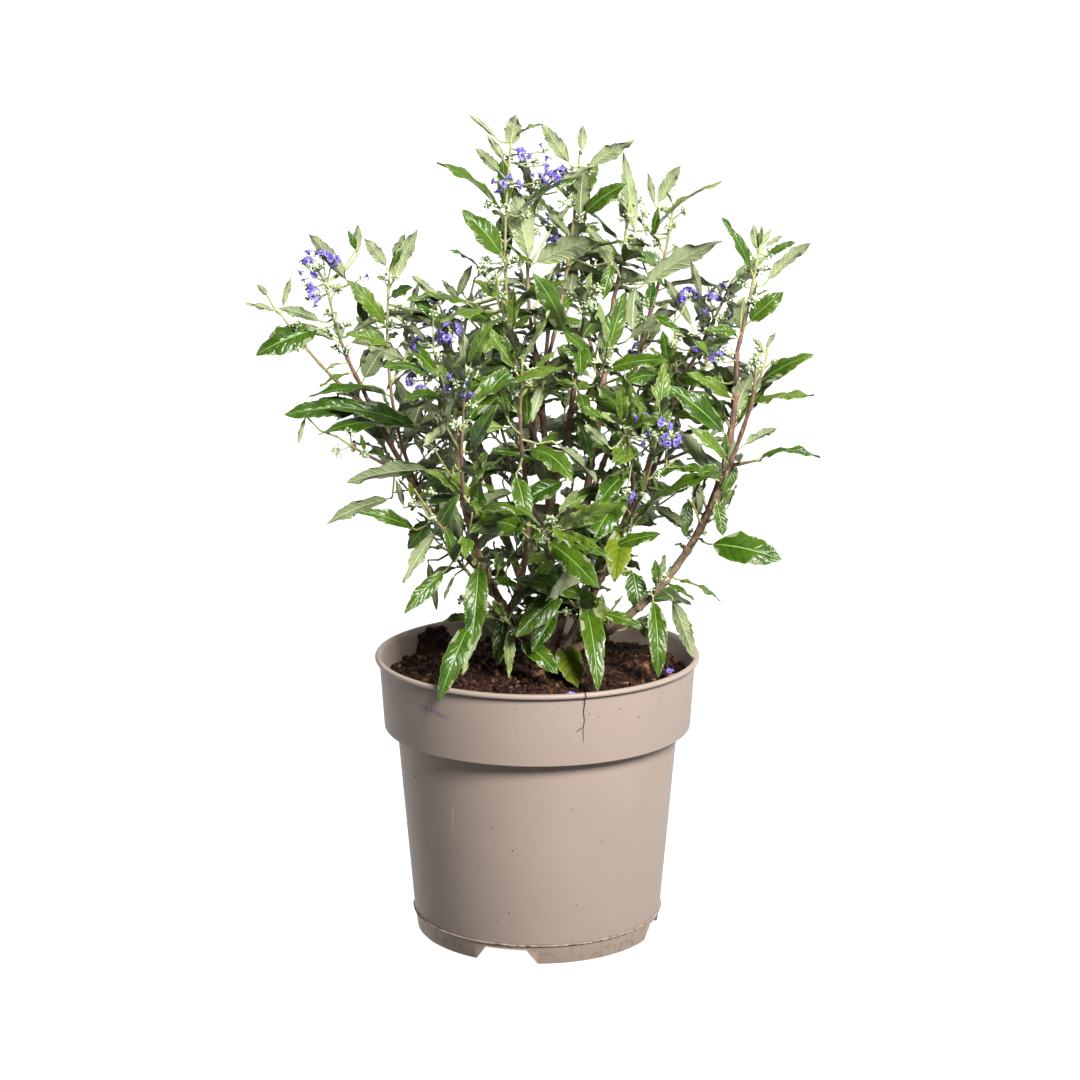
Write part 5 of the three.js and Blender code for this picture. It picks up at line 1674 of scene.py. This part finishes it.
rounds = max(len(spray["leaves"]) for spray in sprays)
for turn in range(rounds):
    for spray in sprays:
        for leaf in spray["leaves"][turn : turn + 1]:
            if keeps_to_space(leaf, spray):
                kept[spray["name"]].append(leaf)
for spray in sprays:
    for twig in spray["twigs"]:
        twig_leaves = [leaf for leaf in twig["leaves"] if keeps_to_space(leaf, spray)]
        kept[spray["name"]] += twig_leaves
        if twig_leaves:
            add_twig(twig["line"], max(4, int(twig["line"].length / TWIG_STEP)), 4)

for number, bough in enumerate(boughs.values()):
    draw = seeded_draw(6000 + number)
    curve = bough["curve"]
    nodes = int(curve.length * 0.9 / TUFT_GAP)
    for node in range(nodes):
        share = 0.1 + (node + draw(0, 0.4)) * TUFT_GAP / curve.length
        turn = node * math.pi / 2 + draw(-0.4, 0.4)
        spray = nearest_limb(curve.point(share))[2]
        own = {**spray, "segments": segments_of(curve)}
        pair = leaf_pair(curve, share, turn, NODE_LEAF * LEAF_LENGTH, draw, 0)
        kept[spray["name"]] += [leaf for leaf in pair if keeps_to_space(leaf, own)]
        for side in (0, math.pi):
            if draw(0, 1) < TUFT_CHANCE:
                length = draw(*TUFT_REACH)
                tuft = side_twig(curve, share, turn + side, length, TUFT_LEAF * LEAF_LENGTH, draw)
                tuft_leaves = [leaf for leaf in tuft["leaves"] if keeps_to_space(leaf, own)]
                kept[spray["name"]] += tuft_leaves
                if tuft_leaves:
                    add_twig(tuft["line"], 4, 3)

for region, members in crowns.items():
    leaves = Joined()
    for spray in members:
        for leaf in kept[spray["name"]]:
            add_leaf(leaf, leaves)
    stands_for = ["spray_" + spray["name"] for spray in members]
    leaves.piece("leaves_" + region, LEAF_FINISHES, stands_for)

# Buds
# Round heads of tiny cream-green buds, each on its own short stalk, in the axils of the upper leaves.
BUD_RADIUS = 0.00075
HEAD_RADIUS = 0.0034
HEAD_STALK = 0.0075
CREAM_SHARE = 0.75
HEADS_APART = 0.009

buds = Joined()
blossom = Joined()


def add_bud_head(root, out, size, count):
    """A branching head of buds: its stalk, the buds' own stalks and the buds."""
    middle = root + out * HEAD_STALK * size
    corners, faces = tube([root, root + out * HEAD_STALK * 0.5 * size, middle], [0.0006, 0.0005, 0.0004], 4)
    buds.add(corners, faces, 2)
    add_buds(middle, out, size, count)
    return middle


def add_buds(middle, out, size, count):
    """Buds on their own short stalks round the middle of a head."""
    for _ in range(count):
        spread = unit(random.normal(0, 1, 3) + 1.1 * out)
        place = middle + spread * HEAD_RADIUS * size * random.uniform(0.55, 1.1)
        radius = BUD_RADIUS * random.uniform(0.7, 1.25)
        buds.add(BALL * radius + place, BALL_FACES, 0 if random.uniform(0, 1) < CREAM_SHARE else 1)
        start = middle - out * 0.0006
        corners, faces = tube([start, place], [0.00026, 0.0002], 3)
        buds.add(corners, faces, 2)


def head_way(stem, share, turn):
    """Which way a head stands from its axil."""
    up = stem.course(share)
    across, over = cross_axes(up)
    return unit(across * math.cos(turn) + over * math.sin(turn) + up)


# Blossom
# Small violet florets that open among the buds of the topmost heads: a short tube, five spread lobes,
# one of them longer than the rest, and long stamens.
FLORET = 0.0022
OPEN_BEHIND = 0.03
LOBES = 5
STAMENS = 3
# Along a lobe: the share of its reach, with its half width and its lift there, as shares of the floret.
LOBE_STATIONS = [(0.25, 0.24, 0.0), (0.6, 0.5, 0.26), (0.88, 0.42, 0.2), (1.0, 0.16, 0.02)]
FALLEN_FLORETS = [(0.0185, -0.07), (0.076, -0.02)]
# The heads that show most, each at a pixel of the photograph and so many mm behind the pot's axis, with
# its size and its counts of buds and open florets.
SHOWN_HEADS = [
    dict(at=(518, 154, 0), size=1.0, buds=9, florets=3),
    dict(at=(543, 152, 4), size=0.9, buds=10, florets=1),
    dict(at=(544, 165, 4), size=0.8, buds=5, florets=2),
    dict(at=(533, 162, 4), size=1.2, buds=16, florets=1),
    dict(at=(536, 183, 2), size=1.1, buds=8, florets=5),
    dict(at=(552, 181, 4), size=0.9, buds=6, florets=4),
    dict(at=(560, 176, 6), size=0.9, buds=4, florets=4),
    dict(at=(512, 184, -4), size=1.0, buds=8, florets=4),
    dict(at=(500, 184, -3), size=0.9, buds=6, florets=3),
    dict(at=(490, 205, -4), size=1.0, buds=20),
    dict(at=(524, 216, -2), size=1.1, buds=18),
    dict(at=(487, 262, -2), size=1.2, buds=24),
    dict(at=(517, 262, -6), size=1.2, buds=24),
    dict(at=(548, 225, 8), size=0.6, buds=2, florets=1),
    dict(at=(564, 203, 26), size=1.1, buds=18),
    dict(at=(643, 216, 66), size=1.1, buds=20),
    dict(at=(645, 230, 64), size=1.1, buds=20),
    dict(at=(625, 245, 46), size=1.0, buds=16),
    dict(at=(652, 257, 60), size=1.6, buds=26),
    dict(at=(578, 296, -38), size=1.7, buds=44),
    dict(at=(595, 292, -40), size=1.6, buds=40),
    dict(at=(588, 310, -42), size=1.8, buds=50),
    dict(at=(643, 304, 40), size=1.1, buds=20),
    dict(at=(641, 321, 38), size=1.3, buds=26),
    dict(at=(766, 270, -14), size=1.1, buds=14),
    dict(at=(752, 258, -14), size=1.0, buds=12),
    dict(at=(743, 285, -14), size=1.0, buds=16),
    dict(at=(753, 303, -16), size=1.3, buds=26),
    dict(at=(723, 320, 6), size=1.1, buds=20),
    dict(at=(709, 331, 6), size=1.2, buds=22),
    dict(at=(688, 298, 14), size=1.3, buds=8, florets=10),
    dict(at=(710, 303, 14), size=1.1, buds=8, florets=6),
    dict(at=(691, 350, 4), size=0.8, buds=4, florets=2),
    dict(at=(753, 364, -24), size=1.4, buds=28),
    dict(at=(726, 353, -22), size=1.2, buds=18),
    dict(at=(718, 361, -24), size=0.9, buds=4, florets=3),
    dict(at=(664, 426, -64), size=1.0, buds=8, florets=4),
    dict(at=(668, 438, -66), size=1.4, buds=10, florets=7),
    dict(at=(674, 446, -64), size=0.7, buds=3, florets=2),
    dict(at=(642, 420, -62), size=0.8, buds=6, florets=2),
    dict(at=(640, 437, -62), size=0.9, buds=8, florets=2),
    dict(at=(655, 440, -66), size=1.3, buds=22),
    dict(at=(311, 259, -22), size=0.9, buds=6, florets=3),
    dict(at=(308, 268, -24), size=1.1, buds=8, florets=5),
    dict(at=(323, 259, -22), size=0.9, buds=7, florets=4),
    dict(at=(332, 259, -20), size=0.8, buds=6, florets=3),
    dict(at=(319, 271, -22), size=1.5, buds=30, florets=1),
    dict(at=(306, 286, -24), size=0.7, buds=3, florets=3),
    dict(at=(312, 297, -24), size=1.2, buds=14, florets=7),
    dict(at=(335, 315, -20), size=1.0, buds=16),
    dict(at=(326, 290, -21), size=1.2, buds=22),
    dict(at=(397, 308, 6), size=1.1, buds=12),
    dict(at=(390, 325, 2), size=1.1, buds=16),
    dict(at=(411, 325, 4), size=1.0, buds=14),
    dict(at=(433, 315, -24), size=1.1, buds=16),
    dict(at=(361, 279, -6), size=0.7, buds=5, florets=1),
    dict(at=(450, 332, -60), size=1.2, buds=10, florets=8),
    dict(at=(421, 345, -56), size=1.1, buds=8, florets=8),
    dict(at=(446, 341, -60), size=0.8, buds=8, florets=2),
    dict(at=(417, 381, -62), size=1.2, buds=8, florets=8),
    dict(at=(422, 394, -62), size=1.0, buds=6, florets=6),
    dict(at=(456, 384, -84), size=1.2, buds=8, florets=8),
    dict(at=(466, 389, -84), size=0.8, buds=4, florets=4),
    dict(at=(626, 493, -60), size=0.8, buds=10, florets=2),
    dict(at=(760, 352, -50), size=1.2, buds=22),
]


def add_floret(place, out, size):
    """A floret with its tube, its five lobes and its stamens, facing out."""
    across, over = cross_axes(unit(out + np.array([0.001, 0.0, 0.002])))
    tube_end = place + out * size * 0.9
    corners, faces = tube([place, tube_end], [size * 0.18, size * 0.36], 6)
    blossom.add(corners, faces, 0)
    for lobe in range(LOBES):
        turn = lobe / LOBES * 2 * math.pi + 0.3
        reach = size * (1.4 if lobe == 0 else random.uniform(0.8, 1.05))
        spread = across * math.cos(turn) + over * math.sin(turn)
        level = -across * math.sin(turn) + over * math.cos(turn)
        corners = []
        for share, width, lift in LOBE_STATIONS:
            middle = tube_end + spread * reach * share + out * size * lift
            half = level * width * size
            corners += [middle - half, middle + out * size * 0.08, middle + half]
        look = 0 if random.uniform(0, 1) < 0.6 else 1
        blossom.add(corners, grid_faces(4, 3), look)
    for _ in range(STAMENS):
        lean = across * random.normal(0, 0.3) + over * random.normal(0, 0.3)
        points = [place, tube_end + (out + lean) * size * 0.6, tube_end + (out + 2 * lean) * size * 1.2]
        corners, faces = tube(points, [0.00009, 0.00008, 0.00007], 3)
        blossom.add(corners, faces, 1)
        blossom.add(BALL * 0.0002 + points[-1], BALL_FACES, 2)


def add_florets(middle, out, size, count):
    """Open florets round the middle of a head."""
    for _ in range(count):
        way = unit(random.normal(0, 1, 3) + 0.9 * out)
        add_floret(middle + way * HEAD_RADIUS * 0.8 * size, way, FLORET * random.uniform(0.85, 1.15))


shown_heads = []
for plan in SHOWN_HEADS:
    middle = seen_at(plan["at"])
    gap, foot, _ = nearest_limb(middle)
    out = unit(unit(middle - foot) + np.array([0, -0.5, 0.7]))
    bend = foot * 0.5 + middle * 0.5 + np.array([0, 0, -0.1 * gap])
    corners, faces = tube([foot, bend, middle], [0.0007, 0.00055, 0.0004], 5)
    buds.add(corners, faces, 2)
    add_buds(middle, out, plan["size"], plan["buds"])
    add_florets(middle, out, plan["size"], plan.get("florets", 0))
    shown_heads.append(middle)

for spray in sprays:
    stem = spray["stem"]
    for share, turn, open_now in spray["heads"]:
        root = stem.point(share)
        out = head_way(stem, share, turn)
        size = random.uniform(0.8, 1.2)
        tip = root + out * (HEAD_STALK + HEAD_RADIUS) * size
        if max(abs(tip[0]) - CROWN_SIDE, abs(tip[1]) - CROWN_DEPTH, tip[2] - cad_high.z) > -0.002:
            continue
        if min(np.linalg.norm(tip - place) for place in shown_heads) < HEADS_APART:
            continue
        middle = add_bud_head(root, out, size, int(random.uniform(14, 26)))
        if open_now and tip[1] > OPEN_BEHIND:
            add_florets(middle, out, size, int(random.uniform(3, 7)))

# Two florets have dropped on the peat.
for across, back in FALLEN_FLORETS:
    add_floret(np.array([across, back, SOIL_LEVEL + 0.0012]), unit(np.array([0.1, -0.5, 1])), FLORET)

bud_cream = flat_finish("bud_cream", (0.44, 0.51, 0.3), 0.5, 0.15, 0.0008)
bud_green = flat_finish("bud_green", (0.2, 0.27, 0.12), 0.5, 0.15, 0.0008)
bud_stalk = stem_finish("bud_stalk", (0.22, 0.27, 0.12))
petal_violet = flat_finish("petal_violet", (0.12, 0.08, 0.36), 0.5, 0.22, 0.001)
petal_pale = flat_finish("petal_pale", (0.24, 0.19, 0.5), 0.5, 0.18, 0.001)
anther_blue = flat_finish("anther_blue", (0.06, 0.05, 0.22), 0.6, 0.2, 0.0006)
buds.piece("bud_heads", [bud_cream, bud_green, bud_stalk])
blossom.piece("blossom", [petal_violet, petal_pale, anther_blue])
stem_skins = [stem_finish(f"shoot_{number}", colour) for number, colour in enumerate(STEM_COLOURS)]
twigs.piece("shoots", stem_skins)

# Studio
# A wide pale floor before a white wall, in a dark room. A round key light hangs near by at the right front,
# and a light of its own keeps the floor white.
FLOOR_REACH = 120
KEY_POWER = 60
KEY_ACROSS = 0.53
KEY_AWAY = 1.5
KEY_RISE = math.radians(36)
KEY_TURN = math.radians(30)
KEY_AIM = (0, 0, 0.2)
FLOOR_LIGHT = 3.3
FLOOR_LIGHT_SPREAD = math.radians(60)
WALL_LIGHT = 1.2
ROOM_LIGHT = 0.15

floor_mesh = bpy.data.meshes.new("floor")
floor_corners = [(x * FLOOR_REACH, y * FLOOR_REACH, 0) for x, y in ((-1, -1), (1, -1), (1, 1), (-1, 1))]
floor_mesh.from_pydata(floor_corners, [], [(0, 1, 2, 3)])
floor_finish, floor_place, floor_shader = new_finish("floor_white")
grain = floor_place.noise(0.02, 2)
set_shader(floor_shader, Base_Color=grain.tint((0.93, 0.93, 0.93), (0.95, 0.95, 0.95)), Roughness=0.9)
set_shader(floor_shader, Specular_IOR_Level=0.1)
floor_mesh.materials.append(floor_finish)
floor = bpy.data.objects.new("floor", floor_mesh)
bpy.context.collection.objects.link(floor)


def floor_group(name, state):
    """A group that holds the floor alone, for a light that reaches it alone or leaves it out."""
    group = bpy.data.collections.new(name)
    group.objects.link(floor)
    group.collection_objects[0].light_linking.link_state = state
    return group


key_data = bpy.data.lights.new("key", "AREA")
key_data.shape = "DISK"
key_data.size = KEY_ACROSS
key_data.energy = KEY_POWER
key = bpy.data.objects.new("key", key_data)
key_way = polar(KEY_TURN, KEY_AWAY * math.cos(KEY_RISE), KEY_AWAY * math.sin(KEY_RISE))
key.location = mathutils.Vector(KEY_AIM) + mathutils.Vector(key_way)
key.rotation_euler = (math.pi / 2 - KEY_RISE, 0, KEY_TURN)
bpy.context.collection.objects.link(key)
key.light_linking.receiver_collection = floor_group("all_but_floor", "EXCLUDE")

floor_sun = bpy.data.lights.new("floor_light", "SUN")
floor_sun.energy = FLOOR_LIGHT
floor_sun.angle = FLOOR_LIGHT_SPREAD
floor_light = bpy.data.objects.new("floor_light", floor_sun)
bpy.context.collection.objects.link(floor_light)
floor_light.light_linking.receiver_collection = floor_group("floor_alone", "INCLUDE")
floor_light.light_linking.blocker_collection = floor_group("floor_blocks", "INCLUDE")
# The floor throws no light up on the pot, as in a room where only the plant stands in the light.
floor.visible_diffuse = False

room = bpy.data.worlds.new("room")
room.use_nodes = True
room_light = room.node_tree.nodes["Background"]
look = Socket(room.node_tree, room.node_tree.nodes.new("ShaderNodeTexCoord").outputs["Generated"])
behind = look.node("ShaderNodeSeparateXYZ", {}, {0: look}).beside("Y").step(0.0, 0.5)
wall_light = behind * (WALL_LIGHT - ROOM_LIGHT) + ROOM_LIGHT
room.node_tree.links.new(wall_light.output, room_light.inputs["Strength"])
room_light.inputs["Color"].default_value = (1, 1, 1, 1)
bpy.context.scene.world = room
bpy.context.scene.view_settings.view_transform = "Standard"
